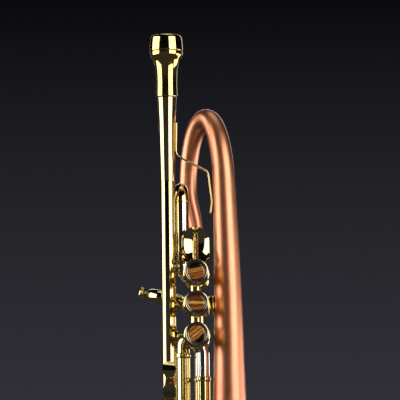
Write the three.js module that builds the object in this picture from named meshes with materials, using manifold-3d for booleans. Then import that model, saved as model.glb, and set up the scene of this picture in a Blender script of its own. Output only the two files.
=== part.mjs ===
// Three-valve B-flat trumpet in millimetres, standing on its bell rim with the mouthpiece up.
// While it is built, the valve column lies at x = 0, the tubes of the leadpipe and bell at y = 0,
// the finger buttons point to -Y, and the bell rim is at z = 0.
import * as THREE from 'three';
import { mergeVertices } from 'three/addons/utils/BufferGeometryUtils.js';
import Module from 'manifold-3d';

const wasm = await Module();
wasm.setup();

// ---------- driving dimensions ----------

const gap = 0.3; // between pieces that touch or slide
const bendStep = 22.5; // degrees of bend between two stations of a tube
const facets = { bell: 20, valve: 16, tube: 12, small: 8 }; // sides of the round pieces

const slideTube = { outer: 6.6, wall: 0.45 }; // radius and wall of the outer slide tubes
const innerWall = 0.4; // wall of the inner slide tubes
const knuckleOuter = 6.35; // radius of the bent tubes at the valves
const collar = { proud: 0.8, knuckleProud: 1.2, length: 3.5 }; // ring where two tubes meet

const bell = {
  x: 29.4, rim: 61.5, throat: 14.13, flareShift: 15.5, wall: 0.7, bead: 1.5,
  straight: 240, shoulderZ: 395, bowRise: 63, lean: 3, halfSpan: 16.7, tailY: 54, tailEnd: 352,
  shoulderRadius: 10.4, crownRadius: 9.2, backRadius: 8.3, tail: 6.5,
};

const leadpipe = { x: -25.7, outer: 6.6, wall: 0.9, foot: 190, top: 449 };
const receiver = { foot: 397, waist: 455, mouth: 475, waistRadius: 7.9, mouthRadius: 9, tenon: 5.6 };

const valve = {
  casing: 10, piston: 8.45, pitch: 28.2, firstZ: 309.5, front: -26, back: 79, stroke: 16.5,
};
const cap = {
  radius: 12.1, bottomRadius: 11.6, face: -31, plate: 2.2, skirt: 8, hole: 4.4,
  bottomDepth: 6, bottomSkirt: 7, vent: 1.5,
};
const button = { radius: 10.85, depth: 9, stone: 7.35, stoneDepth: 1.8, stem: 2.6, spigot: 1.5 };
const felt = { radius: 7.5, depth: 2.5 };
const guide = { y: -4.2, depth: 2.6, ear: 4, hole: 2.5 };
const spring = { radius: 6.2, wire: 0.4, turns: 6 };
const pistonBody = {
  plate: 1.6, wall: 0.8, head: 0, headPlate: 1.2, foot: 61, port: 5.2, liner: 0.5, portLevels: [12, 32, 52],
};
const crossoverY = [24, 28]; // level of the tubes between the casings

const slide1 = { x: -13.4, front: 8, rear: 32, ring: 325.5, tip: 397, engage: 45 };
const slide2 = { front: 16, rear: 40, tilt: 15, outerEnd: 27, tip: 49.4, engage: 15 };
const slide3 = {
  frontX: 5.5, frontY: 12, rearX: 3.8, rearY: 42, ring: 214, outerEnd: 165, tip: 135, engage: 43,
};
const tuning = { rearX: -13, rearY: 48, ring: 237, outerEnd: 150, tip: 95, engage: 35 };
const knuckleBend = 8.5; // centre-line radius of the knuckles

const saddle = {
  width: 25, clear: 1.5, height: 33, floor: -1.6, sheet: 1.6, wide: 19.4, tall: 24, deepest: 15,
  slot: 2.6, slotTop: 9, slotFoot: 5, corner: 4,
};
const hook = { low: 197, high: 229, foot: 11.5, waist: 6.6, tip: 12.5, sheet: 1.8, reach: 15 };
const fingerRing = { z: 150, radius: 11.5, wire: 1.6 };
const stopRod = {
  behind: 10.4, radius: 1.4, head: 1.8, end: 126, nut: 3, nutDepth: 4, bar: 3.4, lug: 3, bridge: 3,
};
const knob = { radius: 5.5, depth: 5, neck: 1.8, neckLength: 1.6 };
const waterKey = {
  nipple: 3, nippleBore: 1.4, nippleHeight: 3, z: 128, pivot: 140, end: 163,
  standOff: 12.4, width: 5, sheet: 1.6, post: 1.6, pin: 0.7, barrel: 1.9, cork: 3.2,
};
const zBrace = { half: 0.9, depth: 5.2, below: 23 }; // half the strip's thickness, and its depth
const bellBrace = { high: 17.6, deep: 8, web: 3 };
const leadpipeBrace = { high: 10, deep: 8, post: 2.2 };
const tuningBrace = { above: 14, post: 1.8, flange: 4 };

const mouthpiece = {
  rim: 14.4, top: 533.5, cup: 15.4, band: 518, bowl: 505, body: 9.9, biteRadius: 8.2,
  throat: 1.9, shank: 5.2, shankEnd: 4.9, insert: 22,
};

const colours = {
  brass: { color: 0xc9a24a, roughness: 0.18, metalness: 1 },
  copper: { color: 0xc4643a, roughness: 0.4, metalness: 1 },
  nickel: { color: 0xc9c8bd, roughness: 0.2, metalness: 1 },
  steel: { color: 0x9a9a98, roughness: 0.3, metalness: 1 },
  stone: { color: 0x8a4a16, roughness: 0.12, metalness: 0 },
  felt: { color: 0x2c2c2e, roughness: 1, metalness: 0 },
  cork: { color: 0xb58a5a, roughness: 0.9, metalness: 0 },
};

// ---------- worked out from the driving dimensions ----------

const slideBore = slideTube.outer - slideTube.wall; // inside of an outer slide tube
const innerTube = slideBore - gap; // radius of an inner slide tube
const airway = innerTube - innerWall; // radius of the air column
const valveZ = [0, 1, 2].map((k) => valve.firstZ - k * valve.pitch);
const casingBore = valve.piston + gap;
const knuckleRing = knuckleOuter + collar.knuckleProud;
const feltFace = cap.face - valve.stroke - gap; // lower face of the felt under a button
const buttonFoot = feltFace - felt.depth - gap;
const barrelTop = cap.face + cap.plate + gap + pistonBody.plate; // inside of the piston's upper end
const capEnd = valve.back + cap.bottomDepth;
const up = new THREE.Vector3(0, 0, 1);
const side = new THREE.Vector3(1, 0, 0);
const inward = new THREE.Vector3(0, 1, 0); // from the buttons to the bottom caps

// The flare runs from the rim to the throat, where the bow begins.
const flarePower = Math.log(bell.rim / bell.throat) / Math.log(bell.straight / bell.flareShift + 1);
const bellRadius = (z) => bell.rim * (bell.flareShift / (z + bell.flareShift)) ** flarePower;
const receiverRadius = (z) => THREE.MathUtils.mapLinear(
  z, receiver.foot, receiver.waist, leadpipe.outer, receiver.waistRadius);

// ---------- solids ----------

// A closed geometry becomes a solid with its faces pointing out.
function solid(geometry) {
  const bare = geometry.index ? geometry.clone() : geometry;
  bare.deleteAttribute('normal');
  bare.deleteAttribute('uv');
  const merged = mergeVertices(bare, 1e-4);
  const at = merged.attributes.position.array;
  const triangles = [];
  const source = merged.index.array;
  let volume = 0;
  for (let i = 0; i < source.length; i += 3) {
    const [a, b, c] = [source[i], source[i + 1], source[i + 2]];
    if (a === b || b === c || c === a) continue;
    triangles.push(a, b, c);
    const [p, q, r] = [a, b, c].map((k) => new THREE.Vector3().fromArray(at, 3 * k));
    volume += p.dot(q.cross(r));
  }
  if (volume < 0) triangles.reverse();
  return new wasm.Manifold(new wasm.Mesh({
    numProp: 3, vertProperties: new Float32Array(at), triVerts: new Uint32Array(triangles),
  }));
}

// A profile of [radius, height] points turned round +Z, or round +Y where the axis is 'y'.
function turned(profile, sides, axis = 'z') {
  const geometry = new THREE.LatheGeometry(profile.map(([r, h]) => new THREE.Vector2(r, h)), sides);
  if (axis === 'z') geometry.rotateX(Math.PI / 2);
  return solid(geometry);
}

function cylinder(from, to, radius, sides = facets.tube) {
  const along = to.clone().sub(from);
  const geometry = new THREE.CylinderGeometry(radius, radius, along.length(), sides);
  geometry.applyQuaternion(new THREE.Quaternion().setFromUnitVectors(inward, along.clone().normalize()));
  geometry.translate(...from.clone().add(to).multiplyScalar(0.5).toArray());
  return solid(geometry);
}

function box(low, high) {
  const size = high.map((value, i) => value - low[i]);
  const geometry = new THREE.BoxGeometry(...size);
  geometry.translate(...low.map((value, i) => value + size[i] / 2));
  return solid(geometry);
}

// An outline drawn in two of the three axes and extruded along the third, from low to high.
function plate(shape, axis, low, high) {
  const geometry = new THREE.ExtrudeGeometry(shape, {
    depth: high - low, bevelEnabled: false, curveSegments: 6, steps: 1,
  });
  geometry.translate(0, 0, low);
  const turns = {
    x: new THREE.Matrix4().makeBasis(inward, up, side), // outline in (y, z)
    y: new THREE.Matrix4().makeBasis(side, up, inward), // outline in (x, z), mirrored faces are put right
  };
  geometry.applyMatrix4(turns[axis]);
  return solid(geometry);
}

// The outline of a strip of even thickness along a line of [u, v] points.
function ribbon(points, thickness) {
  const line = points.map(([u, v]) => new THREE.Vector2(u, v));
  const offsets = line.map((point, i) => {
    const before = point.clone().sub(line[Math.max(i - 1, 0)]).normalize();
    const after = line[Math.min(i + 1, line.length - 1)].clone().sub(point).normalize();
    const first = before.lengthSq() ? before : after;
    const second = after.lengthSq() ? after : before;
    const mean = first.clone().add(second).normalize();
    const normal = new THREE.Vector2(-mean.y, mean.x);
    return normal.multiplyScalar(thickness / 2 / mean.dot(first));
  });
  const left = line.map((point, i) => point.clone().add(offsets[i]));
  const right = line.map((point, i) => point.clone().sub(offsets[i]));
  return new THREE.Shape([...left, ...right.reverse()]);
}

// Straight runs between corners, with an arc of one radius at each corner, as stations of a tube.
function bentPath(corners, radius) {
  const path = [];
  const put = (point, tangent) => {
    const last = path[path.length - 1];
    if (!last || last.point.distanceTo(point) > 0.01) path.push({ point, tangent });
  };
  const direction = (i) => corners[i + 1].clone().sub(corners[i]).normalize();
  put(corners[0], direction(0));
  for (let i = 1; i < corners.length - 1; i++) {
    const into = direction(i - 1);
    const out = direction(i);
    const turn = into.angleTo(out);
    const normal = out.clone().addScaledVector(into, -out.dot(into)).normalize();
    const centre = corners[i].clone()
      .addScaledVector(into, -radius * Math.tan(turn / 2))
      .addScaledVector(normal, radius);
    const steps = Math.ceil(THREE.MathUtils.radToDeg(turn) / bendStep - 0.01);
    for (let s = 0; s <= steps; s++) {
      const angle = turn * s / steps;
      const [c, d] = [Math.cos(angle), Math.sin(angle)];
      put(centre.clone().addScaledVector(normal, -radius * c).addScaledVector(into, radius * d),
        into.clone().multiplyScalar(c).addScaledVector(normal, d));
    }
  }
  put(corners[corners.length - 1], direction(corners.length - 2));
  return path;
}

// A closed skin through rings about a path; the last ring joins the first, or each end is filled.
function sweep(path, outline, sides, filled = false) {
  const along = path[0].tangent;
  const start = new THREE.Vector3().crossVectors(along, Math.abs(along.y) > 0.9 ? up : inward).normalize();
  const frames = [{ u: start, tangent: along }];
  for (let i = 1; i < path.length; i++) {
    const turn = new THREE.Quaternion().setFromUnitVectors(frames[i - 1].tangent, path[i].tangent);
    frames.push({ u: frames[i - 1].u.clone().applyQuaternion(turn), tangent: path[i].tangent });
  }
  const positions = [];
  const index = [];
  for (const { station, radius } of outline) {
    const { u, tangent } = frames[station];
    const v = new THREE.Vector3().crossVectors(tangent, u);
    for (let k = 0; k < sides; k++) {
      const angle = 2 * Math.PI * k / sides;
      const point = path[station].point.clone()
        .addScaledVector(u, radius * Math.cos(angle))
        .addScaledVector(v, radius * Math.sin(angle));
      positions.push(...point.toArray());
    }
  }
  const joins = filled ? outline.length - 1 : outline.length;
  for (let i = 0; i < joins; i++) {
    const [a, b] = [i * sides, ((i + 1) % outline.length) * sides];
    for (let k = 0; k < sides; k++) {
      const n = (k + 1) % sides;
      index.push(a + k, a + n, b + k, a + n, b + n, b + k);
    }
  }
  if (filled) {
    const last = (outline.length - 1) * sides;
    for (let k = 1; k < sides - 1; k++) {
      index.push(0, k + 1, k);
      index.push(last, last + k, last + k + 1);
    }
  }
  const geometry = new THREE.BufferGeometry();
  geometry.setAttribute('position', new THREE.Float32BufferAttribute(positions, 3));
  geometry.setIndex(index);
  return solid(geometry);
}

// A tube wall: every station of the path carries an outer and an inner radius.
function tube(path, sides = facets.tube) {
  const there = path.map((at, station) => ({ station, radius: at.outer }));
  const back = path.map((at, station) => ({ station, radius: at.inner })).reverse();
  return sweep(path, [...there, ...back], sides);
}

const rod = (path, radius, sides = facets.tube) => sweep(
  path, path.map((_, station) => ({ station, radius })), sides, true);

const withRadii = (path, outer, inner) => path.map((at) => ({ ...at, outer, inner }));
const vector = (x, y, z) => new THREE.Vector3(x, y, z);

// A straight tube through [z, outer, inner] steps about a vertical axis.
const upright = (x, y, steps, sides = facets.tube) => tube(
  steps.map(([z, outer, inner]) => ({ point: vector(x, y, z), tangent: up, outer, inner })), sides);

// Round blanks, grown by the gap, trim what is fastened to a casing or to an upright tube.
const casingBlank = (k) => cylinder(
  vector(0, valve.front - 10, valveZ[k]), vector(0, valve.back + 10, valveZ[k]),
  valve.casing + gap, facets.valve);
const tubeBlank = (x, y, radius) => rod(
  [{ point: vector(x, y, 50), tangent: up }, { point: vector(x, y, 450), tangent: up }], radius);

// ---------- the scene graph ----------

const trumpet = new THREE.Group();
trumpet.name = 'trumpet';

function add(name, shape, finish) {
  const { vertProperties, triVerts } = shape.getMesh();
  const geometry = new THREE.BufferGeometry();
  geometry.setAttribute('position', new THREE.BufferAttribute(vertProperties, 3));
  geometry.setIndex(new THREE.BufferAttribute(triVerts, 1));
  geometry.computeVertexNormals();
  const mesh = new THREE.Mesh(geometry, new THREE.MeshStandardMaterial(colours[finish]));
  mesh.name = name;
  trumpet.add(mesh);
}

// ---------- bell ----------

// The bell tube rises from the flare, turns over in the bow and comes back down to the first valve.
const bow = {
  foot: vector(bell.x, 0, bell.straight),
  shoulder: vector(bell.x - bell.lean, bell.tailY * 0.015, bell.shoulderZ),
  crown: vector(bell.x - bell.lean - bell.halfSpan, bell.tailY / 2, bell.shoulderZ + bell.bowRise),
  back: vector(bell.x - bell.lean - 2 * bell.halfSpan, bell.tailY, bell.shoulderZ),
  tail: vector(0, bell.tailY, bell.tailEnd),
};
const roundness = 0.5523; // handle length that makes a cubic curve a quarter of an ellipse
const across = vector(-bell.halfSpan, bell.tailY / 2, 0).multiplyScalar(roundness);
const rise = up.clone().multiplyScalar(bell.bowRise * roundness);
const third = (from, to) => up.clone().multiplyScalar((to - from) / 3);
const leanBack = vector(bell.lean * 0.55, 0, 0);
const bowParts = [
  [bow.foot, bow.foot.clone().add(third(bell.straight, bell.shoulderZ)),
    bow.shoulder.clone().sub(third(bell.straight, bell.shoulderZ)).add(leanBack), bow.shoulder,
    bellRadius(bell.straight), bell.shoulderRadius, 5],
  [bow.shoulder, bow.shoulder.clone().add(rise).sub(leanBack.clone().multiplyScalar(0.6)),
    bow.crown.clone().sub(across), bow.crown, bell.shoulderRadius, bell.crownRadius, 5],
  [bow.crown, bow.crown.clone().add(across), bow.back.clone().add(rise), bow.back,
    bell.crownRadius, bell.backRadius, 5],
  [bow.back, bow.back.clone().sub(third(bell.tailEnd, bell.shoulderZ)),
    bow.tail.clone().add(third(bell.tailEnd, bell.shoulderZ)), bow.tail, bell.backRadius, bell.tail, 3],
];

function bellPath(grown = 0) {
  const flare = [0, 0.4, 1.1, 2.2, 4, 7, 11, 17, 26, 40, 62, 95, 150];
  const path = flare.map((z) => (
    { point: vector(bell.x, 0, z), tangent: up, outer: bellRadius(z) + grown }));
  path.push({ point: bow.foot, tangent: up, outer: bellRadius(bell.straight) + grown });
  for (const [from, first, second, to, wide, narrow, steps] of bowParts) {
    const curve = new THREE.CubicBezierCurve3(from, first, second, to);
    for (let i = 1; i <= steps; i++) {
      const outer = THREE.MathUtils.lerp(wide, narrow, i / steps) + grown;
      path.push({ point: curve.getPoint(i / steps), tangent: curve.getTangent(i / steps), outer });
    }
  }
  path[path.length - 1].tangent = up.clone().negate();
  return path;
}

const bellSkin = bellPath();
const bellRings = bellSkin.map((at, station) => ({ station, radius: at.outer }));
// The metal is measured across the wall, so the inside of the wide flare steps in by more than it.
const bellInside = bellSkin.map((at, station) => {
  const next = bellSkin[Math.min(station + 1, bellSkin.length - 1)];
  const slope = station < 13 ? (at.outer - next.outer) / at.point.distanceTo(next.point) : 0;
  return { station, radius: at.outer - bell.wall * Math.hypot(1, slope) };
});
// The rim is a rolled bead: it stands on a flat ring and is as wide as the rim radius.
const beadRings = [
  { station: 3, radius: bell.rim - bell.bead * 0.9 },
  { station: 2, radius: bell.rim - bell.bead * 0.2 },
  { station: 1, radius: bell.rim },
  { station: 0, radius: bell.rim - bell.bead * 0.3 },
];
const flareRings = bellRings.slice(4);
add('bell', sweep(bellSkin, [
  ...beadRings.slice().reverse(), ...flareRings, ...bellInside.slice(3).reverse(),
  { station: 1, radius: bell.rim - bell.bead * 2.2 },
  { station: 0, radius: bell.rim - bell.bead * 1.7 },
], facets.bell), 'copper');

// The bell's outside, grown by the gap, trims what is fastened to it.
const grownBell = bellPath(gap).slice(6);
const bellBlank = sweep(
  grownBell, grownBell.map((at, station) => ({ station, radius: at.outer })), facets.bell, true);
add('bell_tail_ferrule', upright(0, bell.tailY, [
  [valve.firstZ, knuckleOuter, airway],
  [bell.tailEnd - 0.5, knuckleOuter, airway],
]).subtract(casingBlank(0)), 'brass');

// ---------- leadpipe, receiver and mouthpiece ----------

add('leadpipe', upright(leadpipe.x, 0, [
  [leadpipe.foot, leadpipe.outer, leadpipe.outer - leadpipe.wall],
  [receiver.foot - 20, leadpipe.outer, receiver.tenon - leadpipe.wall],
  [receiver.foot - gap, leadpipe.outer, receiver.tenon - leadpipe.wall],
  [receiver.foot - gap, receiver.tenon, receiver.tenon - leadpipe.wall],
  [leadpipe.top, receiver.tenon, receiver.tenon - leadpipe.wall],
]), 'brass');

add('receiver', upright(leadpipe.x, 0, [
  [receiver.foot, leadpipe.outer, receiver.tenon + gap],
  [receiver.waist, receiver.waistRadius, receiver.tenon + gap],
  [receiver.mouth, receiver.mouthRadius, receiver.tenon + gap],
], facets.valve), 'brass');

const joint = receiver.mouth + gap;
add('mouthpiece', turned([
  [mouthpiece.shankEnd, receiver.mouth - mouthpiece.insert],
  [mouthpiece.shank, joint],
  [mouthpiece.body, joint],
  [mouthpiece.body + 0.1, mouthpiece.bowl - 4],
  [mouthpiece.body + 1.1, mouthpiece.bowl + 1],
  [mouthpiece.cup - 2.8, mouthpiece.bowl + 6],
  [mouthpiece.cup - 0.5, mouthpiece.band - 4],
  [mouthpiece.cup - 0.3, mouthpiece.band - 0.8],
  [mouthpiece.cup - 1, mouthpiece.band],
  [mouthpiece.cup, mouthpiece.band + 1],
  [mouthpiece.rim, mouthpiece.top - 2.5],
  [mouthpiece.rim - 1.2, mouthpiece.top - 0.6],
  [mouthpiece.rim - 3.4, mouthpiece.top],
  [mouthpiece.biteRadius + 0.8, mouthpiece.top - 0.8],
  [mouthpiece.biteRadius, mouthpiece.top - 2.4],
  [mouthpiece.biteRadius - 1, mouthpiece.top - 8],
  [mouthpiece.throat + 2.4, mouthpiece.top - 13],
  [mouthpiece.throat, mouthpiece.top - 17],
  [mouthpiece.throat, mouthpiece.top - 24],
  [mouthpiece.shankEnd - 1, receiver.mouth - mouthpiece.insert],
  [mouthpiece.shankEnd, receiver.mouth - mouthpiece.insert],
], facets.bell).translate([leadpipe.x, 0, 0]), 'brass');

// ---------- valves ----------

function pistonSolid() {
  const top = barrelTop - pistonBody.plate;
  const skin = turned([
    [0, top], [valve.piston, top], [valve.piston, pistonBody.foot], [0, pistonBody.foot],
  ], facets.valve, 'y');
  const hollow = (from, to, radius) => cylinder(vector(0, from, 0), vector(0, to, 0), radius, facets.valve);
  const inside = valve.piston - pistonBody.wall;
  let piston = skin.subtract(hollow(barrelTop, pistonBody.head, inside));
  piston = piston.subtract(hollow(pistonBody.head + pistonBody.headPlate, pistonBody.foot + 1, inside));
  const reach = valve.piston + 2;
  pistonBody.portLevels.forEach((level, i) => {
    const angle = THREE.MathUtils.degToRad(i * 45);
    const across = vector(Math.cos(angle), 0, Math.sin(angle));
    const centre = vector(0, level, 0);
    const from = centre.clone().addScaledVector(across, -reach);
    const to = centre.clone().addScaledVector(across, reach);
    const liner = cylinder(from, to, pistonBody.port + pistonBody.liner, facets.small)
      .intersect(hollow(pistonBody.head, pistonBody.foot, valve.piston - 0.1));
    piston = piston.add(liner).subtract(cylinder(from, to, pistonBody.port, facets.small));
  });
  // Two slots let the guide's ears through while the piston travels.
  const slotTop = guide.y - valve.stroke - gap;
  const slotFoot = guide.y + guide.depth + gap;
  const halfEar = guide.ear / 2 + gap;
  piston = piston.subtract(box(
    [-valve.piston - 1, slotTop, -halfEar], [valve.piston + 1, slotFoot, halfEar]));
  return piston.subtract(hollow(cap.face - 1, barrelTop + 1, button.spigot + gap));
}

const piston = pistonSolid();
const buttonFace = buttonFoot - button.depth;
const stoneSeat = buttonFace + button.stoneDepth;
const stem = turned([
  [0, barrelTop - gap], [button.spigot, barrelTop - gap],
  [button.spigot, cap.face + cap.plate], [button.stem, cap.face + cap.plate],
  [button.stem, buttonFoot], [button.radius - 1.6, buttonFoot],
  [button.radius, buttonFoot - 1.6], [button.radius, buttonFace + 1.4],
  [button.radius - 0.9, buttonFace], [button.stone + gap, buttonFace],
  [button.stone + gap, stoneSeat], [0, stoneSeat],
], facets.valve, 'y');
const stoneFoot = stoneSeat - gap;
const stone = turned([
  [0, stoneFoot], [button.stone, stoneFoot], [button.stone, stoneFoot - 1.1],
  [button.stone - 1, stoneFoot - 1.5], [0, stoneFoot - 1.3],
], facets.valve, 'y');
const feltRing = turned([
  [button.stem + gap, feltFace], [felt.radius, feltFace],
  [felt.radius, feltFace - felt.depth], [button.stem + gap, feltFace - felt.depth],
  [button.stem + gap, feltFace],
], facets.valve, 'y');

// The spring stands between the guide and the top of the piston's barrel.
const springFrom = guide.y - gap - spring.wire;
const springTo = barrelTop + gap + spring.wire;
const coilSteps = spring.turns * facets.small;
const springPath = Array.from({ length: coilSteps + 1 }, (_, i) => {
  const angle = 2 * Math.PI * i / facets.small;
  const height = THREE.MathUtils.lerp(springFrom, springTo, i / coilSteps);
  return {
    point: vector(spring.radius * Math.cos(angle), height, spring.radius * Math.sin(angle)),
    tangent: vector(-Math.sin(angle), 0, Math.cos(angle)),
  };
});
const coil = rod(springPath, spring.wire, 4);

const guideFoot = guide.y + guide.depth;
const guideOuter = valve.piston - pistonBody.wall - gap;
const earEnd = casingBore + 0.4;
const guideBar = turned([
  [guide.hole, guide.y], [guideOuter, guide.y], [guideOuter, guideFoot], [guide.hole, guideFoot],
  [guide.hole, guide.y],
], facets.valve, 'y').add(
  box([-earEnd, guide.y, -guide.ear / 2], [earEnd, guideFoot, guide.ear / 2])
    .subtract(cylinder(vector(0, guide.y - 1, 0), vector(0, guideFoot + 1, 0), 4, facets.tube)));

const capBore = valve.casing + gap;
const capInside = cap.face + cap.plate;
const topCap = turned([
  [cap.hole, cap.face], [cap.radius - 1.6, cap.face], [cap.radius, cap.face + 1.4],
  [cap.radius, capInside + cap.skirt], [capBore, capInside + cap.skirt],
  [capBore, capInside], [cap.hole, capInside], [cap.hole, cap.face],
], facets.valve, 'y');
const bottomCap = turned([
  [cap.vent, capEnd], [cap.bottomRadius - 4, capEnd], [cap.bottomRadius, capEnd - 3],
  [cap.bottomRadius, valve.back - cap.bottomSkirt], [capBore, valve.back - cap.bottomSkirt],
  [capBore, valve.back + gap], [valve.casing - 2, valve.back + 2],
  [cap.vent, capEnd - 1.6], [cap.vent, capEnd],
], facets.valve, 'y');

const slide2Tilt = THREE.MathUtils.degToRad(slide2.tilt);
const slide2Out = vector(-Math.cos(slide2Tilt), 0, Math.sin(slide2Tilt));
// Where tubes meet each casing: a level along the valve and a direction away from its axis.
const openings = [
  [[slide1.front, side.clone().negate()], [slide1.rear, side.clone().negate()],
    [bell.tailY, up], [crossoverY[0], up.clone().negate()]],
  [[slide2.front, slide2Out], [slide2.rear, slide2Out],
    [crossoverY[0], up], [crossoverY[1], up.clone().negate()]],
  [[slide3.frontY, up.clone().negate()], [slide3.rearY, up.clone().negate()],
    [tuning.rearY, side.clone().negate()], [crossoverY[1], up]],
];

valveZ.forEach((z, k) => {
  const n = k + 1;
  const place = (shape) => shape.translate([0, 0, z]);
  let casing = turned([
    [casingBore, valve.front], [valve.casing, valve.front], [valve.casing, valve.back],
    [casingBore, valve.back], [casingBore, valve.front],
  ], facets.valve, 'y');
  for (const [level, out] of openings[k]) {
    const from = vector(0, level, 0);
    casing = casing.subtract(cylinder(from, from.clone().addScaledVector(out, 20), airway, facets.small));
  }
  const notch = guide.ear / 2 + gap;
  casing = casing.subtract(box(
    [-earEnd - gap, valve.front - 1, -notch], [earEnd + gap, guideFoot + gap, notch]));
  add(`casing_${n}`, place(casing), 'brass');
  add(`top_cap_${n}`, place(topCap), 'brass');
  add(`bottom_cap_${n}`, place(bottomCap), 'brass');
  add(`piston_${n}`, place(piston), 'nickel');
  add(`stem_${n}`, place(stem), 'brass');
  add(`button_stone_${n}`, place(stone), 'stone');
  add(`felt_${n}`, place(feltRing), 'felt');
  add(`piston_spring_${n}`, place(coil), 'steel');
  add(`valve_guide_${n}`, place(guideBar), 'brass');
});

[[1, 2], [2, 3]].forEach(([a, b], i) => {
  const z = (valveZ[a - 1] + valveZ[b - 1]) / 2;
  const reach = valve.pitch / 2;
  const bridge = upright(0, crossoverY[i],
    [[z - reach, knuckleOuter, airway], [z + reach, knuckleOuter, airway]]);
  add(`crossover_${a}_${b}`, bridge.subtract(casingBlank(a - 1)).subtract(casingBlank(b - 1)), 'brass');
});

// ---------- slides ----------

// A knuckle leaves the casing, ends in a ring, and goes on as a slide tube.
function fixedTube(corners, ringAt, out, end, tubeOuter, tubeInner, bend = knuckleBend) {
  const path = bentPath([...corners, ringAt], bend);
  const after = (distance) => ringAt.clone().addScaledVector(out, distance);
  const stations = withRadii(path.slice(0, -1), knuckleOuter, airway);
  const half = collar.length / 2;
  const step = (distance, outer, inner) => stations.push(
    { point: after(distance), tangent: out, outer, inner });
  step(-half, knuckleOuter, airway);
  step(-half, knuckleRing, airway);
  step(half, knuckleRing, airway);
  step(half, tubeOuter, tubeInner);
  stations.push({ point: end, tangent: out, outer: tubeOuter, inner: tubeInner });
  return tube(stations);
}

// Two legs and a bow. The legs start at `root`, the bow's own tube at `shoulder`; `tip` is its outer edge.
function slideBow(front, rear, out, { root, shoulder, tip, legOuter, legInner, bowInner }) {
  const at = (base, distance) => base.clone().addScaledVector(out, distance);
  const reach = tip - slideTube.outer;
  const path = bentPath(
    [at(front, root), at(front, reach), at(rear, reach), at(rear, root)], front.distanceTo(rear) / 2);
  const legs = (base, tangent) => [
    { point: at(base, root), tangent, outer: legOuter, inner: legInner },
    { point: at(base, shoulder), tangent, outer: legOuter, inner: legInner },
    { point: at(base, shoulder), tangent, outer: slideTube.outer, inner: bowInner },
  ];
  const bow = withRadii(path.slice(1, -1), slideTube.outer, bowInner);
  return tube([...legs(front, out), ...bow, ...legs(rear, out.clone().negate()).reverse()]);
}

const down = up.clone().negate();
const left = side.clone().negate();

// First slide: the moving bow carries the outer tubes, which run over fixed inner tubes.
const slide1Top = slide1.ring + slide1.engage;
[['front', slide1.front], ['rear', slide1.rear]].forEach(([name, y]) => {
  const fixed = fixedTube([vector(0, y, valveZ[0]), vector(slide1.x, y, valveZ[0])],
    vector(slide1.x, y, slide1.ring), up, vector(slide1.x, y, slide1Top), innerTube, airway);
  add(`slide1_knuckle_${name}`, fixed.subtract(casingBlank(0)), 'nickel');
});
const slide1Root = slide1.ring + collar.length / 2 + gap;
const slide1Shoulder = slide1.tip - slideTube.outer - (slide1.rear - slide1.front) / 2;
add('slide1_crook', slideBow(vector(slide1.x, slide1.front, 0), vector(slide1.x, slide1.rear, 0), up, {
  root: slide1Root, shoulder: slide1Shoulder, tip: slide1.tip,
  legOuter: slideTube.outer, legInner: slideBore, bowInner: airway,
}), 'nickel');

// Second slide: two short legs that pass under the leadpipe.
const outward = (y, distance) => vector(0, y, valveZ[1]).addScaledVector(slide2Out, distance);
[['front', slide2.front], ['rear', slide2.rear]].forEach(([name, y]) => {
  const sleeve = tube([0, slide2.outerEnd - collar.length, slide2.outerEnd - collar.length, slide2.outerEnd]
    .map((distance, i) => ({
      point: outward(y, distance), tangent: slide2Out,
      outer: slideTube.outer + (i > 1 ? collar.proud : 0), inner: slideBore,
    })));
  add(`slide2_outer_${name}`, sleeve.subtract(casingBlank(1)), 'brass');
});
add('slide2_crook', slideBow(outward(slide2.front, 0), outward(slide2.rear, 0), slide2Out, {
  root: slide2.outerEnd - slide2.engage, shoulder: slide2.outerEnd + gap, tip: slide2.tip,
  legOuter: innerTube, legInner: airway, bowInner: airway,
}), 'brass');
const knobTurn = new THREE.Quaternion().setFromUnitVectors(up, slide2Out);
const knobGeometry = new THREE.LatheGeometry([
  [0, 0], [knob.neck + 1.2, 0], [knob.neck, 0.8], [knob.neck, knob.neckLength],
  [knob.radius - 1, knob.neckLength + 0.4], [knob.radius, knob.neckLength + 1.5],
  [knob.radius, knob.neckLength + knob.depth - 1.2], [knob.radius - 1.4, knob.neckLength + knob.depth],
  [0, knob.neckLength + knob.depth],
].map(([r, h]) => new THREE.Vector2(r, h)), facets.tube).rotateX(Math.PI / 2).applyQuaternion(knobTurn);
const slide2Middle = (slide2.front + slide2.rear) / 2;
knobGeometry.translate(...outward(slide2Middle, slide2.tip + gap).toArray());
add('slide2_knob', solid(knobGeometry), 'brass');

// Third slide, towards the bell flare.
const slide3Front = vector(slide3.frontX, slide3.frontY, 0);
const slide3Rear = vector(slide3.rearX, slide3.rearY, 0);
const lifted = (base, z) => vector(base.x, base.y, z);
[['front', slide3Front], ['rear', slide3Rear]].forEach(([name, base]) => {
  const fixed = fixedTube([vector(0, base.y, valveZ[2] - 3), lifted(base, valveZ[2] - valve.casing - 3)],
    lifted(base, slide3.ring), down, lifted(base, slide3.outerEnd), slideTube.outer, slideBore);
  add(`slide3_outer_${name}`, fixed.subtract(casingBlank(2)), 'brass');
});

// The stop rod runs behind the rear leg.
const rodY = slide3.rearY + stopRod.behind;
const onRod = (low, high, radius) => cylinder(
  vector(slide3.rearX, rodY, low), vector(slide3.rearX, rodY, high), radius, facets.small);

// A lug behind the rear leg, as deep along the leg as the bar between the legs.
const rodLug = (low) => box([slide3.rearX - stopRod.lug, slide3.rearY, low],
  [slide3.rearX + stopRod.lug, rodY + stopRod.lug, low + stopRod.bridge]);

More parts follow.
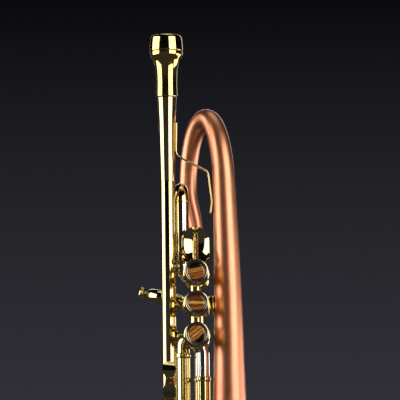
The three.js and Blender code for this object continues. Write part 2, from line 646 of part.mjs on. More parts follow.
const bridgeLow = slide3.outerEnd - stopRod.bridge * 1.5;
const bridgeZ = bridgeLow + stopRod.bridge / 2;
const legBar = cylinder(lifted(slide3Front, bridgeZ), lifted(slide3Rear, bridgeZ), stopRod.bar / 2, 4);
const movingBridge = legBar.add(rodLug(bridgeLow))
  .subtract(onRod(bridgeLow - 1, bridgeLow + stopRod.bridge + 1, stopRod.radius + gap))
  .subtract(tubeBlank(slide3.frontX, slide3.frontY, airway + 0.2))
  .subtract(tubeBlank(slide3.rearX, slide3.rearY, airway + 0.2));
add('slide3_crook', slideBow(slide3Front, slide3Rear, down, {
  root: -slide3.outerEnd - slide3.engage, shoulder: gap - slide3.outerEnd, tip: -slide3.tip,
  legOuter: innerTube, legInner: airway, bowInner: airway,
}).add(movingBridge), 'brass');

const fixedLugLow = slide3.ring - stopRod.bridge / 2;
add('stop_rod', rodLug(fixedLugLow).subtract(tubeBlank(slide3.rearX, slide3.rearY, knuckleRing + gap))
  .add(onRod(stopRod.end, slide3.ring, stopRod.radius))
  .add(onRod(fixedLugLow, fixedLugLow + stopRod.bridge + 1, stopRod.head)), 'brass');
const nutTop = stopRod.end + gap + stopRod.nutDepth + 1;
add('stop_nut', turned([
  [stopRod.radius + gap, nutTop - stopRod.nutDepth], [stopRod.nut, nutTop - stopRod.nutDepth],
  [stopRod.nut, nutTop], [stopRod.radius + gap, nutTop],
  [stopRod.radius + gap, nutTop - stopRod.nutDepth],
], facets.small).translate([slide3.rearX, rodY, 0]), 'brass');

const slide3Surface = slide3.frontY - slideTube.outer - gap;
const torus = new THREE.TorusGeometry(fingerRing.radius, fingerRing.wire, 6, 18).rotateY(Math.PI / 2);
torus.translate(slide3.frontX, slide3Surface - fingerRing.radius - fingerRing.wire, fingerRing.z);
const ringFoot = box([slide3.frontX - 2.5, slide3Surface - 3, fingerRing.z - 8],
  [slide3.frontX + 2.5, slide3Surface + 1.5, fingerRing.z + 8]);
add('finger_ring', solid(torus).add(ringFoot)
  .subtract(tubeBlank(slide3.frontX, slide3.frontY, slideTube.outer + gap)), 'brass');

// Main tuning slide: the front tube carries on from the leadpipe, the rear one goes to the third valve.
add('tuning_outer_front', upright(leadpipe.x, 0, [
  [tuning.outerEnd, slideTube.outer, slideBore],
  [leadpipe.foot - gap - collar.length, slideTube.outer, slideBore],
  [leadpipe.foot - gap - collar.length, slideTube.outer + collar.proud, slideBore],
  [leadpipe.foot - gap, slideTube.outer + collar.proud, slideBore],
]), 'brass');
const tuningFront = vector(leadpipe.x, 0, 0);
const tuningRear = vector(tuning.rearX, tuning.rearY, 0);
add('tuning_outer_rear', fixedTube([vector(0, tuning.rearY, valveZ[2]), lifted(tuningRear, valveZ[2])],
  lifted(tuningRear, tuning.ring), down, lifted(tuningRear, tuning.outerEnd), slideTube.outer, slideBore,
  knuckleBend - 0.5).subtract(casingBlank(2)), 'brass');
add('tuning_crook', slideBow(tuningFront, tuningRear, down, {
  root: -(tuning.outerEnd + tuning.engage), shoulder: -(tuning.outerEnd - gap), tip: -tuning.tip,
  legOuter: innerTube, legInner: airway, bowInner: airway,
}), 'brass');

const tuningAway = tuningRear.clone().sub(tuningFront).normalize();
const braceZ = tuning.outerEnd + tuningBrace.above;
const onBrace = (base, distance) => lifted(base, braceZ).addScaledVector(tuningAway, distance);
const flangeEnd = slideTube.outer + 1.8;
const frontLegBlank = tubeBlank(leadpipe.x, 0, slideTube.outer + gap);
const rearLegBlank = tubeBlank(tuning.rearX, tuning.rearY, slideTube.outer + gap);
add('tuning_brace', cylinder(onBrace(tuningFront, 3), onBrace(tuningRear, -3), tuningBrace.post)
  .add(cylinder(onBrace(tuningFront, 5), onBrace(tuningFront, flangeEnd), tuningBrace.flange))
  .add(cylinder(onBrace(tuningRear, -5), onBrace(tuningRear, -flangeEnd), tuningBrace.flange))
  .subtract(frontLegBlank).subtract(rearLegBlank), 'brass');

// ---------- water key on the tuning bow ----------

const keyAcross = new THREE.Vector3().crossVectors(tuningAway, up);
const keyPoint = (distance, z, across = 0) => lifted(tuningRear, z)
  .addScaledVector(tuningAway, distance).addScaledVector(keyAcross, across);
// A block in the key's own directions: away from the tube, across it, and along z.
function keyBlock([awayLow, awayHigh], [acrossLow, acrossHigh], [zLow, zHigh]) {
  const geometry = new THREE.BoxGeometry(awayHigh - awayLow, acrossHigh - acrossLow, zHigh - zLow);
  geometry.applyMatrix4(new THREE.Matrix4().makeBasis(tuningAway, keyAcross.clone().negate(), up));
  const middle = keyPoint((awayLow + awayHigh) / 2, (zLow + zHigh) / 2, (acrossLow + acrossHigh) / 2);
  geometry.translate(...middle.toArray());
  return solid(geometry);
}
const surface = slideTube.outer + gap;
const keyWidth = waterKey.width / 2;
const post = { inner: keyWidth + gap, outer: keyWidth + gap + waterKey.post };
const tall = waterKey.standOff + 1.8;
const nippleTop = surface + waterKey.nippleHeight;
const nipple = cylinder(keyPoint(4, waterKey.z), keyPoint(nippleTop, waterKey.z), waterKey.nipple);
const saddleStrip = keyBlock([4, surface + 1.2], [-post.outer, post.outer],
  [waterKey.z - 3.5, waterKey.pivot + 3]);
const posts = [1, -1].map((s) => keyBlock([4, tall],
  s > 0 ? [post.inner, post.outer] : [-post.outer, -post.inner], [waterKey.pivot - 2, waterKey.pivot + 2]));
// A round bar along the pivot, as far to each side as `half`.
const onPivot = (half, radius, sides) => cylinder(keyPoint(waterKey.standOff, waterKey.pivot, -half),
  keyPoint(waterKey.standOff, waterKey.pivot, half), radius, sides);
const nippleHole = cylinder(
  keyPoint(0, waterKey.z), keyPoint(30, waterKey.z), waterKey.nippleBore, facets.small);
add('key_saddle', saddleStrip.add(nipple).add(posts[0]).add(posts[1])
  .add(onPivot(post.outer, waterKey.pin, facets.small))
  .subtract(rearLegBlank).subtract(nippleHole), 'nickel');
const lever = { low: waterKey.standOff - waterKey.sheet / 2, high: waterKey.standOff + waterKey.sheet / 2 };
const leverFoot = waterKey.z - waterKey.cork - 0.4;
add('water_key', keyBlock([lever.low, lever.high], [-keyWidth, keyWidth], [leverFoot, waterKey.end])
  .add(onPivot(keyWidth, waterKey.barrel, facets.tube))
  .subtract(onPivot(keyWidth + 1, waterKey.pin + gap, facets.small)), 'nickel');
add('key_cork', cylinder(
  keyPoint(nippleTop + gap, waterKey.z), keyPoint(lever.low - gap, waterKey.z), waterKey.cork), 'cork');

// ---------- braces, hook and saddle ----------

// The brace between leadpipe and bell is one strip: along the receiver, across, and along the bell.
const braceTop = receiver.mouth - zBrace.below;
const alongReceiver = (z) => leadpipe.x + receiverRadius(z) + gap + zBrace.half;
const alongBell = bow.shoulder.x - bell.shoulderRadius - gap - zBrace.half;
add('z_brace', plate(ribbon([
  [alongReceiver(braceTop), braceTop],
  [alongReceiver(braceTop - 26), braceTop - 26],
  [alongReceiver(braceTop - 30) + 1, braceTop - 31],
  [alongBell - 4.2, bell.shoulderZ + 11],
  [alongBell - 2.8, bell.shoulderZ + 7],
  [alongBell, bell.shoulderZ - 18],
  [alongBell - 1.4, bell.shoulderZ - 29],
], zBrace.half * 2), 'y', -zBrace.depth / 2, zBrace.depth / 2).subtract(bellBlank), 'brass');

// A post or a web between two round tubes with a saddle flange on each.
function tubeBrace(low, high, z, { high: flangeHigh, deep, post, web }, cutters) {
  const flange = (a, b) => box([a, -deep / 2, z - flangeHigh / 2], [b, deep / 2, z + flangeHigh / 2]);
  const neck = web
    ? box([low, -web / 2, z - flangeHigh / 2], [high, web / 2, z + flangeHigh / 2])
    : cylinder(vector(low, 0, z), vector(high, 0, z), post);
  const joined = neck.add(flange(low - 5, low + 1.5)).add(flange(high - 1.5, high + 3));
  return cutters.reduce((shape, cutter) => shape.subtract(cutter), joined);
}
add('bell_brace', tubeBrace(valve.casing + gap, bell.x - bellRadius(valveZ[1]) - gap, valveZ[1],
  bellBrace, [casingBlank(1), bellBlank]), 'brass');
const leadpipeColumn = tubeBlank(leadpipe.x, 0, leadpipe.outer + gap);
add('leadpipe_brace', tubeBrace(leadpipe.x + leadpipe.outer + gap, -valve.casing - gap, valveZ[2],
  leadpipeBrace, [casingBlank(2), leadpipeColumn]), 'brass');

// The little finger's hook: a strip that leaves the leadpipe, arches out and turns back over the finger.
const hookFloor = -leadpipe.outer - gap;
const hookSide = plate(ribbon([
  [hookFloor, hook.low], [hookFloor - 0.3, hook.low + 11], [hookFloor - 3, hook.low + 15],
  [hookFloor - 8, hook.low + 16.5], [hookFloor - hook.reach + 2, hook.low + 18.5],
  [hookFloor - hook.reach, hook.low + 23], [hookFloor - hook.reach + 1, hook.low + 28],
  [hookFloor - hook.reach + 4.5, hook.high],
], hook.sheet), 'x', leadpipe.x - hook.tip, leadpipe.x + hook.tip);
const hookFront = new THREE.Shape();
const hookWaistZ = hook.low + 18;
const onHook = (width, s) => leadpipe.x + s * width / 2; // an edge of the hook, right or left
hookFront.moveTo(onHook(hook.foot, -1), hook.low - 2);
hookFront.lineTo(onHook(hook.foot, 1), hook.low - 2);
hookFront.lineTo(onHook(hook.foot, 1), hook.low + 9);
hookFront.quadraticCurveTo(onHook(hook.waist, 1), hook.low + 12, onHook(hook.waist, 1), hookWaistZ);
hookFront.quadraticCurveTo(onHook(hook.tip, 1), hookWaistZ + 3, onHook(hook.tip, 1), hook.high - 5);
hookFront.quadraticCurveTo(onHook(hook.tip, 1), hook.high + 2, leadpipe.x, hook.high + 2);
hookFront.quadraticCurveTo(onHook(hook.tip, -1), hook.high + 2, onHook(hook.tip, -1), hook.high - 5);
hookFront.quadraticCurveTo(onHook(hook.tip, -1), hookWaistZ + 3, onHook(hook.waist, -1), hookWaistZ);
hookFront.quadraticCurveTo(onHook(hook.waist, -1), hook.low + 12, onHook(hook.foot, -1), hook.low + 9);
hookFront.closePath();
add('pinky_hook', hookSide.intersect(plate(hookFront, 'y', -60, 0)).subtract(leadpipeColumn), 'brass');

// The thumb's saddle: a dished sheet on the first slide's front tube, hollow towards -Y.
const saddleLow = valve.firstZ + valve.casing + saddle.clear;
const saddleHigh = saddleLow + saddle.height;
const saddleMiddle = slide1.x + saddle.width / 2 + 0.4;
const [saddleLeft, saddleRight] = [saddleMiddle - saddle.width / 2, saddleMiddle + saddle.width / 2];
const dishCentre = [saddleMiddle, saddle.floor - saddle.wide, saddleHigh - saddle.deepest];
// The dish is part of an egg-shaped shell; `grown` moves its surface out from the sheet's middle.
function egg(grown) {
  const geometry = new THREE.SphereGeometry(1, 20, 16);
  geometry.scale(saddle.wide + grown, saddle.wide + grown, saddle.tall + grown).translate(...dishCentre);
  return solid(geometry);
}
const dish = egg(saddle.sheet / 2).subtract(egg(-saddle.sheet / 2));
const saddleFront = new THREE.Shape();
const arch = saddleHigh - saddle.width / 2;
saddleFront.moveTo(saddleLeft, arch);
saddleFront.lineTo(saddleLeft, saddleLow + saddle.corner);
saddleFront.quadraticCurveTo(saddleLeft, saddleLow, saddleLeft + saddle.corner, saddleLow);
saddleFront.lineTo(saddleRight - saddle.corner, saddleLow);
saddleFront.quadraticCurveTo(saddleRight, saddleLow, saddleRight, saddleLow + saddle.corner);
saddleFront.lineTo(saddleRight, arch);
saddleFront.absarc(saddleMiddle, arch, saddle.width / 2, 0, Math.PI, false);
const saddleHole = new THREE.Shape();
saddleHole.absarc(saddleMiddle, saddleHigh - saddle.slotTop, saddle.slot, 0, Math.PI, false);
saddleHole.absarc(saddleMiddle, saddleLow + saddle.slotFoot, saddle.slot, Math.PI, 2 * Math.PI, false);
const saddleFoot = box([saddleLeft, saddle.floor - 6, saddleHigh - 22],
  [slide1.x + slideTube.outer - 1, slide1.front - 1, saddleHigh - 13]).subtract(egg(0));
add('thumb_saddle', dish.intersect(plate(saddleFront, 'y', dishCentre[1], 20))
  .subtract(plate(saddleHole, 'y', dishCentre[1], 20)).add(saddleFoot)
  .subtract(tubeBlank(slide1.x, slide1.front, slideTube.outer + gap)), 'brass');

// ---------- origin at the middle of the footprint, on the rim ----------

const knobEnd = slide2.tip + gap + knob.neckLength + knob.depth;
const [lowX, highX] = [slide2Out.x * knobEnd - slide2Out.z * knob.radius, bell.x + bell.rim];
const [lowY, highY] = [-bell.rim, capEnd];
trumpet.position.set(-(lowX + highX) / 2, -(lowY + highY) / 2, 0);
trumpet.updateMatrixWorld(true);

export default trumpet;
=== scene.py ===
import bpy
import math
from mathutils import Matrix, Quaternion, Vector


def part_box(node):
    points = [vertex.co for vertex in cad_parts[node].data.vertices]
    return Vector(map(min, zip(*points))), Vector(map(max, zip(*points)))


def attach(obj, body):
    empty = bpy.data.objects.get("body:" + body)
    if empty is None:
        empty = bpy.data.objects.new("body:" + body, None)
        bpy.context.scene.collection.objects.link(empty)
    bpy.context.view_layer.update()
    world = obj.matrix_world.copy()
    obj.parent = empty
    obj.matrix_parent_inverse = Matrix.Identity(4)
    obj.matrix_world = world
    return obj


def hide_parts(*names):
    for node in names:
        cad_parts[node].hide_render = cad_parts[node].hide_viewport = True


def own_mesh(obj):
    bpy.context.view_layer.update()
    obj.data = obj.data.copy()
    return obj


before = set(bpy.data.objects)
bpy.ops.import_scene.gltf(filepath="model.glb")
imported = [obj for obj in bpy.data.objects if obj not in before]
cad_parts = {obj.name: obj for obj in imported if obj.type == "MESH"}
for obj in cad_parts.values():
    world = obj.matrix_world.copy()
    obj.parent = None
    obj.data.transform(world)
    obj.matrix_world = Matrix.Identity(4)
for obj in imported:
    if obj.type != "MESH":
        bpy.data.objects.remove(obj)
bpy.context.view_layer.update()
print("frame loaded")

# Lengths are in millimetres from the valve column (x), the leadpipe's axis (y) and the bell's rim (z).
mm = 0.001


def middle(node):
    low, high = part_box(node)
    return (Vector(low) + Vector(high)) / 2


rowShift = Vector((middle("casing_1").x, middle("leadpipe").y, 0))


def at(x, y, z):
    return Vector((x, y, z)) * mm + rowShift


def boxOf(node):
    # a node's box in the same millimetres
    low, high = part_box(node)
    return (Vector(low) - rowShift) / mm, (Vector(high) - rowShift) / mm


up = Vector((0, 0, 1))
inward = Vector((0, 1, 0))
side = Vector((1, 0, 0))


def addNode(tree, kind, inputs=None, **settings):
    # a shader node with its settings; each input is a value or another node's output
    node = tree.nodes.new(kind)
    for key, value in settings.items():
        setattr(node, key, value)
    for label, value in (inputs or {}).items():
        if isinstance(value, bpy.types.NodeSocket):
            tree.links.new(value, node.inputs[label])
        else:
            node.inputs[label].default_value = value
    return node


def mathNode(tree, operation, first, second):
    return addNode(tree, "ShaderNodeMath", {0: first, 1: second}, operation=operation).outputs[0]


def noiseNode(tree, vector, scale, detail, roughness=0.5):
    return addNode(tree, "ShaderNodeTexNoise", {
        "Vector": vector, "Scale": scale, "Detail": detail, "Roughness": roughness}).outputs["Fac"]


def remap(tree, value, low, high, toLow, toHigh):
    return addNode(tree, "ShaderNodeMapRange", {
        "Value": value, "From Min": low, "From Max": high,
        "To Min": toLow, "To Max": toHigh}).outputs["Result"]


def mixed(tree, factor, first, second):
    return addNode(tree, "ShaderNodeMix", {"Factor": factor, "A": first, "B": second},
                   data_type="RGBA").outputs["Result"]


def stretched(tree, vector, scale):
    return addNode(tree, "ShaderNodeMapping", {"Vector": vector, "Scale": scale}).outputs["Vector"]


def placeGroup(tree, group, inputs):
    return addNode(tree, "ShaderNodeGroup", inputs, node_tree=group)


def newGroup(name, inputs, outputs):
    group = bpy.data.node_groups.new(name, "ShaderNodeTree")
    for label, kind, value in inputs:
        socket = group.interface.new_socket(name=label, in_out="INPUT", socket_type=kind)
        if value is not None:
            socket.default_value = value
    for label, kind in outputs:
        group.interface.new_socket(name=label, in_out="OUTPUT", socket_type=kind)
    return group, group.nodes.new("NodeGroupInput"), group.nodes.new("NodeGroupOutput")


def setUpView():
    view = {"target": (4.1, 0, 379.2), "distance": 2397, "elevation": -5.4, "roll": 0.65, "lens": 233}
    tilt = math.radians(view["elevation"])
    forward = Vector((0, math.cos(tilt), -math.sin(tilt)))
    camera = bpy.data.objects.new("camera", bpy.data.cameras.new("camera"))
    bpy.context.scene.collection.objects.link(camera)
    camera.location = at(*view["target"]) - forward * view["distance"] * mm
    turn = forward.to_track_quat("-Z", "Y") @ Quaternion((0, 0, 1), math.radians(-view["roll"]))
    camera.rotation_mode = "QUATERNION"
    camera.rotation_quaternion = turn
    camera.data.lens = view["lens"]
    camera.data.sensor_width = 36
    camera.data.clip_start = 0.05
    camera.data.clip_end = 40
    bpy.context.scene.camera = camera


def softbox(name, place, target, width, height, strength):
    # a rectangle of light, as bright per square metre as its strength says
    light = bpy.data.lights.new(name, "AREA")
    light.shape = "RECTANGLE"
    light.size = width
    light.size_y = height
    light.energy = strength * width * height
    light.color = (1, 0.985, 0.96)
    lamp = bpy.data.objects.new(name, light)
    lamp.location = Vector(place)
    lamp.rotation_mode = "QUATERNION"
    lamp.rotation_quaternion = (Vector(target) - Vector(place)).to_track_quat("-Z", "Y")
    bpy.context.scene.collection.objects.link(lamp)


def around(turn, distance):
    # a place round the object, turned to the right of the camera
    angle = math.radians(turn)
    return Vector((math.sin(angle), -math.cos(angle), 0)) * distance


def setUpLight():
    look = {"skyLow": (0.034, 0.033, 0.042), "skyHigh": (0.003, 0.003, 0.0038), "skyRise": 0.17,
            "distance": 1.6, "left": -82, "right": 45, "leftWidth": 1.75, "rightWidth": 1.45,
            "height": 1.5, "strength": 10, "middle": 0.78,
            "low": 103, "lowWidth": 1.5, "lowHeight": 0.7, "lowMiddle": 0.01, "lowStrength": 8,
            "top": (0.1, 0.1, 2.2), "topWidth": 1.2, "back": (0.3, 2.2, 1.2), "backWidth": 1.6,
            "fillHeight": 1.0, "fillStrength": 3}
    heart = Vector((0, 0, 0.4))
    for name, turn, width in (("softboxLeft", look["left"], look["leftWidth"]),
                              ("softboxRight", look["right"], look["rightWidth"])):
        place = around(turn, look["distance"]) + up * look["middle"]
        softbox(name, place, heart, width, look["height"], look["strength"])
    lowHeart = up * look["lowMiddle"]
    softbox("softboxLow", around(look["low"], look["distance"]) + lowHeart, lowHeart,
            look["lowWidth"], look["lowHeight"], look["lowStrength"])
    for name, place, width in (("softboxTop", look["top"], look["topWidth"]),
                               ("softboxBack", look["back"], look["backWidth"])):
        softbox(name, place, heart, width, look["fillHeight"], look["fillStrength"])
    world = bpy.data.worlds.new("studio")
    bpy.context.scene.world = world
    world.use_nodes = True
    tree = world.node_tree
    coords = addNode(tree, "ShaderNodeTexCoord").outputs["Generated"]
    apart = addNode(tree, "ShaderNodeSeparateXYZ", {"Vector": coords})
    rise = remap(tree, apart.outputs["Z"], 0.0, look["skyRise"], 0.0, 1.0)
    sky = mixed(tree, rise, (*look["skyLow"], 1), (*look["skyHigh"], 1))
    tree.links.new(sky, tree.nodes["Background"].inputs["Color"])
    bpy.context.scene.view_settings.view_transform = "Standard"


def layFloor():
    disc = {"sides": 180, "radius": 7, "drop": 0.0005, "colour": (0.52, 0.51, 0.50, 1), "roughness": 0.6}
    bpy.ops.mesh.primitive_circle_add(
        vertices=disc["sides"], radius=disc["radius"], fill_type="NGON", location=(0, 0, -disc["drop"]))
    floor = bpy.context.object
    floor.name = "studioFloor"
    paint = bpy.data.materials.new("paleFloor")
    paint.use_nodes = True
    shader = paint.node_tree.nodes["Principled BSDF"]
    shader.inputs["Base Color"].default_value = disc["colour"]
    shader.inputs["Roughness"].default_value = disc["roughness"]
    floor.data.materials.append(paint)
    floor.visible_glossy = False  # polished undersides mirror the dark room, not the floor


setUpView()
setUpLight()
layFloor()
print("camera, light and floor ready")


def handlingGroup():
    # finger smudges and polish haze: a roughness that drifts over the metal
    group, into, out = newGroup(
        "handlingWear",
        [("Vector", "NodeSocketVector", None), ("Clean Roughness", "NodeSocketFloat", 0.1),
         ("Smudged Roughness", "NodeSocketFloat", 0.2)],
        [("Roughness", "NodeSocketFloat")])
    cloud = noiseNode(group, into.outputs["Vector"], 26.0, 4.0)
    wisps = noiseNode(group, into.outputs["Vector"], 140.0, 3.0, 0.65)
    mask = remap(group, mathNode(group, "MULTIPLY", cloud, wisps), 0.16, 0.42, 0.0, 1.0)
    rough = remap(group, mask, 0.0, 1.0, into.outputs["Clean Roughness"], into.outputs["Smudged Roughness"])
    group.links.new(rough, out.inputs["Roughness"])
    return group


def hairlineGroup():
    # very fine polishing lines, drawn out along one direction
    group, into, out = newGroup(
        "hairlines",
        [("Vector", "NodeSocketVector", None), ("Scale", "NodeSocketFloat", 900.0)],
        [("Height", "NodeSocketFloat")])
    drawn = stretched(group, into.outputs["Vector"], (1.0, 1.0, 0.035))
    lines = noiseNode(group, drawn, into.outputs["Scale"], 2.0, 0.7)
    group.links.new(lines, out.inputs["Height"])
    return group


def patinaGroup():
    # slow colour drift of lacquered metal between a fresh and a mellow tone
    group, into, out = newGroup(
        "mellowing",
        [("Vector", "NodeSocketVector", None), ("Fresh", "NodeSocketColor", None),
         ("Mellow", "NodeSocketColor", None)],
        [("Color", "NodeSocketColor")])
    drift = noiseNode(group, into.outputs["Vector"], 12.0, 3.0)
    amount = remap(group, drift, 0.3, 0.7, 0.0, 1.0)
    tone = mixed(group, amount, into.outputs["Fresh"], into.outputs["Mellow"])
    group.links.new(tone, out.inputs["Color"])
    return group


handlingWear = handlingGroup()
hairlines = hairlineGroup()
mellowing = patinaGroup()


def newMaterial(name):
    material = bpy.data.materials.new(name)
    material.use_nodes = True
    tree = material.node_tree
    coords = addNode(tree, "ShaderNodeTexCoord").outputs["Object"]
    return material, tree, tree.nodes["Principled BSDF"], coords


def bumpInto(tree, shader, height, strength, distance):
    bump = addNode(tree, "ShaderNodeBump", {"Strength": strength, "Distance": distance, "Height": height})
    tree.links.new(bump.outputs["Normal"], shader.inputs["Normal"])


def metal(name, fresh, mellow, clean, smudged, lineStrength, coat=0.0, lineScale=900.0, coatRough=0.05):
    material, tree, shader, coords = newMaterial(name)
    tone = placeGroup(tree, mellowing, {"Vector": coords, "Fresh": (*fresh, 1), "Mellow": (*mellow, 1)})
    wear = placeGroup(tree, handlingWear, {
        "Vector": coords, "Clean Roughness": clean, "Smudged Roughness": smudged})
    lines = placeGroup(tree, hairlines, {"Vector": coords, "Scale": lineScale})
    tree.links.new(tone.outputs["Color"], shader.inputs["Base Color"])
    tree.links.new(wear.outputs["Roughness"], shader.inputs["Roughness"])
    shader.inputs["Metallic"].default_value = 1
    shader.inputs["Coat Weight"].default_value = coat
    shader.inputs["Coat Roughness"].default_value = coatRough
    bumpInto(tree, shader, lines.outputs["Height"], lineStrength, 0.0002)
    return material


def tigerStone(name, centre, turn, bands):
    # silky banded stone: its bands run across the button, a little warped, with fine fibres along them
    material, tree, shader, coords = newMaterial(name)
    fromCentre = addNode(tree, "ShaderNodeVectorMath", {0: coords, 1: centre}, operation="SUBTRACT")
    along = addNode(tree, "ShaderNodeMapping", {
        "Vector": fromCentre.outputs["Vector"],
        "Rotation": (0, math.radians(turn), 0)}).outputs["Vector"]
    height = addNode(tree, "ShaderNodeSeparateXYZ", {"Vector": along}).outputs["Z"]
    across = remap(tree, height, -0.0075, 0.0075, 0.0, 1.0)
    cloud = noiseNode(tree, stretched(tree, along, (1.0, 1.0, 0.5)), 210.0, 2.0)
    fibres = noiseNode(tree, stretched(tree, along, (0.07, 0.3, 1.0)), 1900.0, 3.0, 0.6)
    warp = mathNode(tree, "MULTIPLY", mathNode(tree, "SUBTRACT", cloud, 0.5), 0.22)
    silk = mathNode(tree, "MULTIPLY", mathNode(tree, "SUBTRACT", fibres, 0.5), 0.16)
    place = mathNode(tree, "ADD", across, mathNode(tree, "ADD", silk, warp))
    rampNode = addNode(tree, "ShaderNodeValToRGB", {"Fac": place})
    ramp = rampNode.color_ramp
    for index, (position, tone) in enumerate(bands):
        stop = ramp.elements[index] if index < 2 else ramp.elements.new(position)
        stop.position = position
        stop.color = (*tone, 1)
    tree.links.new(rampNode.outputs["Color"], shader.inputs["Base Color"])
    tree.links.new(remap(tree, fibres, 0.0, 1.0, 0.16, 0.3), shader.inputs["Roughness"])
    shader.inputs["Coat Weight"].default_value = 0.4
    shader.inputs["Coat Roughness"].default_value = 0.06
    bumpInto(tree, shader, fibres, 0.04, 0.0001)
    return material


def fibrous(name, dark, light, scale, rough):
    # felt and cork: mottled colour with a rough, pitted face
    material, tree, shader, coords = newMaterial(name)
    grain = noiseNode(tree, coords, scale, 5.0, 0.7)
    tone = placeGroup(tree, mellowing, {"Vector": coords, "Fresh": (*light, 1), "Mellow": (*dark, 1)})
    tree.links.new(mixed(tree, grain, tone.outputs["Color"], (*dark, 1)), shader.inputs["Base Color"])
    shader.inputs["Roughness"].default_value = rough
    bumpInto(tree, shader, grain, 0.6, 0.0003)
    return material


brass = metal("goldBrass", (0.87, 0.73, 0.36), (0.82, 0.65, 0.27), 0.05, 0.12, 0.006)
mouthGold = metal("mouthpieceGold", (0.88, 0.67, 0.25), (0.83, 0.60, 0.19), 0.05, 0.11, 0.006)
copper = metal("satinCopper", (0.84, 0.34, 0.175), (0.77, 0.27, 0.12), 0.37, 0.44, 0.05, coat=1.0,
               lineScale=1500.0, coatRough=0.27)
nickel = metal("nickelSilver", (0.80, 0.79, 0.73), (0.74, 0.72, 0.64), 0.05, 0.11, 0.005)
steel = metal("springWire", (0.46, 0.46, 0.47), (0.38, 0.37, 0.36), 0.22, 0.34, 0.05)
buttonBrass = metal("buttonRims", (0.62, 0.52, 0.34), (0.52, 0.42, 0.24), 0.17, 0.27, 0.02)
feltCloth = fibrous("blackFelt", (0.008, 0.008, 0.009), (0.03, 0.03, 0.033), 900.0, 0.95)
corkWood = fibrous("naturalCork", (0.22, 0.12, 0.06), (0.55, 0.38, 0.22), 650.0, 0.85)
ink, umber, rust = (0.004, 0.002, 0.002), (0.09, 0.022, 0.006), (0.20, 0.045, 0.008)
amber, honey, straw = (0.42, 0.13, 0.015), (0.62, 0.27, 0.045), (0.72, 0.42, 0.09)
stonePatterns = [
    (12, [(0.00, rust), (0.14, amber), (0.26, rust), (0.34, amber), (0.42, umber), (0.50, honey),
          (0.57, rust), (0.63, honey), (0.69, umber), (0.75, ink), (1.00, ink)]),
    (0, [(0.00, umber), (0.16, amber), (0.28, rust), (0.37, umber), (0.43, honey), (0.49, straw),
         (0.55, honey), (0.60, umber), (0.74, rust), (0.86, umber), (1.00, ink)]),
    (40, [(0.00, ink), (0.20, ink), (0.28, umber), (0.35, honey), (0.42, umber), (0.51, straw),
          (0.58, rust), (0.66, amber), (0.74, honey), (0.82, umber), (0.92, amber), (1.00, honey)]),
]
stones = [tigerStone(f"tigerStone{k + 1}", middle(f"button_stone_{k + 1}"), turn, bands)
          for k, (turn, bands) in enumerate(stonePatterns)]
print("materials ready")


def deselectAll():
    if bpy.context.object and bpy.context.object.mode != "OBJECT":
        bpy.ops.object.mode_set(mode="OBJECT")
    bpy.ops.object.select_all(action="DESELECT")


def startPoint(place):
    # one vertex in edit mode, ready to be extruded into an outline
    deselectAll()
    bpy.ops.mesh.primitive_plane_add(size=0.001, location=(0, 0, 0))
    bpy.ops.object.mode_set(mode="EDIT")
    bpy.ops.mesh.select_all(action="SELECT")
    bpy.ops.mesh.merge(type="CENTER")
    bpy.ops.transform.translate(value=place)


def extrudeBy(step):
    bpy.ops.mesh.extrude_region_move(TRANSFORM_OT_translate={"value": step})


def closeUp(merge=2e-6):
    bpy.ops.mesh.select_all(action="SELECT")
    bpy.ops.mesh.remove_doubles(threshold=merge)
    bpy.ops.mesh.normals_make_consistent(inside=False)
    bpy.ops.object.mode_set(mode="OBJECT")
    return bpy.context.object


def filleted(profile, radius, closed=False, steps=3):
    # rounds each corner of an outline of [radius, height] points with a short arc
    count = len(profile)
    result = []
    for i, corner in enumerate(profile):
        if not closed and i in (0, count - 1):
            result.append(corner)
            continue
        here = Vector(corner)
        before = Vector(profile[i - 1]) - here
        after = Vector(profile[(i + 1) % count]) - here
        reach = min(radius, before.length * 0.45, after.length * 0.45)
        if reach < 0.03 or before.angle(after) > 2.9:
            result.append(corner)
            continue
        start = here + before.normalized() * reach
        end = here + after.normalized() * reach
        for s in range(steps + 1):
            t = s / steps
            point = start * (1 - t) ** 2 + here * 2 * t * (1 - t) + end * t ** 2
            result.append((point.x, point.y))
    return result


def turnedPiece(name, profile, centre, axis, fillet=0.25, closed=False, steps=64):
    # a lathe-turned piece: the outline is extruded point by point and spun about the axis
    outline = filleted(profile, fillet, closed)
    if closed:
        outline = outline + [outline[0]]
    out = side if abs(axis.x) < 0.5 else up
    out = (out - axis * out.dot(axis)).normalized()
    place = [at(*(centre + out * r + axis * h)) for r, h in outline]
    startPoint(place[0])
    for here, there in zip(place, place[1:]):
        extrudeBy(there - here)
    bpy.ops.mesh.select_all(action="SELECT")
    bpy.ops.mesh.spin(steps=steps, angle=2 * math.pi, center=at(*centre), axis=axis)
    piece = closeUp()
    piece.name = name
    return piece


def route(corners, bend, stepDegrees=6):
    # points along straight runs joined by round bends
    corners = [Vector(c) for c in corners]
    points = [corners[0]]
    for i in range(1, len(corners) - 1):
        into = (corners[i] - corners[i - 1]).normalized()
        out = (corners[i + 1] - corners[i]).normalized()
        turn = into.angle(out)
        inner = (out - into * out.dot(into)).normalized()
        centre = corners[i] - into * bend * math.tan(turn / 2) + inner * bend
        steps = max(2, math.ceil(math.degrees(turn) / stepDegrees))
        for s in range(steps + 1):
            angle = turn * s / steps
            point = centre - inner * bend * math.cos(angle) + into * bend * math.sin(angle)
            if (point - points[-1]).length > 0.01:
                points.append(point)
    if (corners[-1] - points[-1]).length > 0.01:
        points.append(corners[-1])
    return points


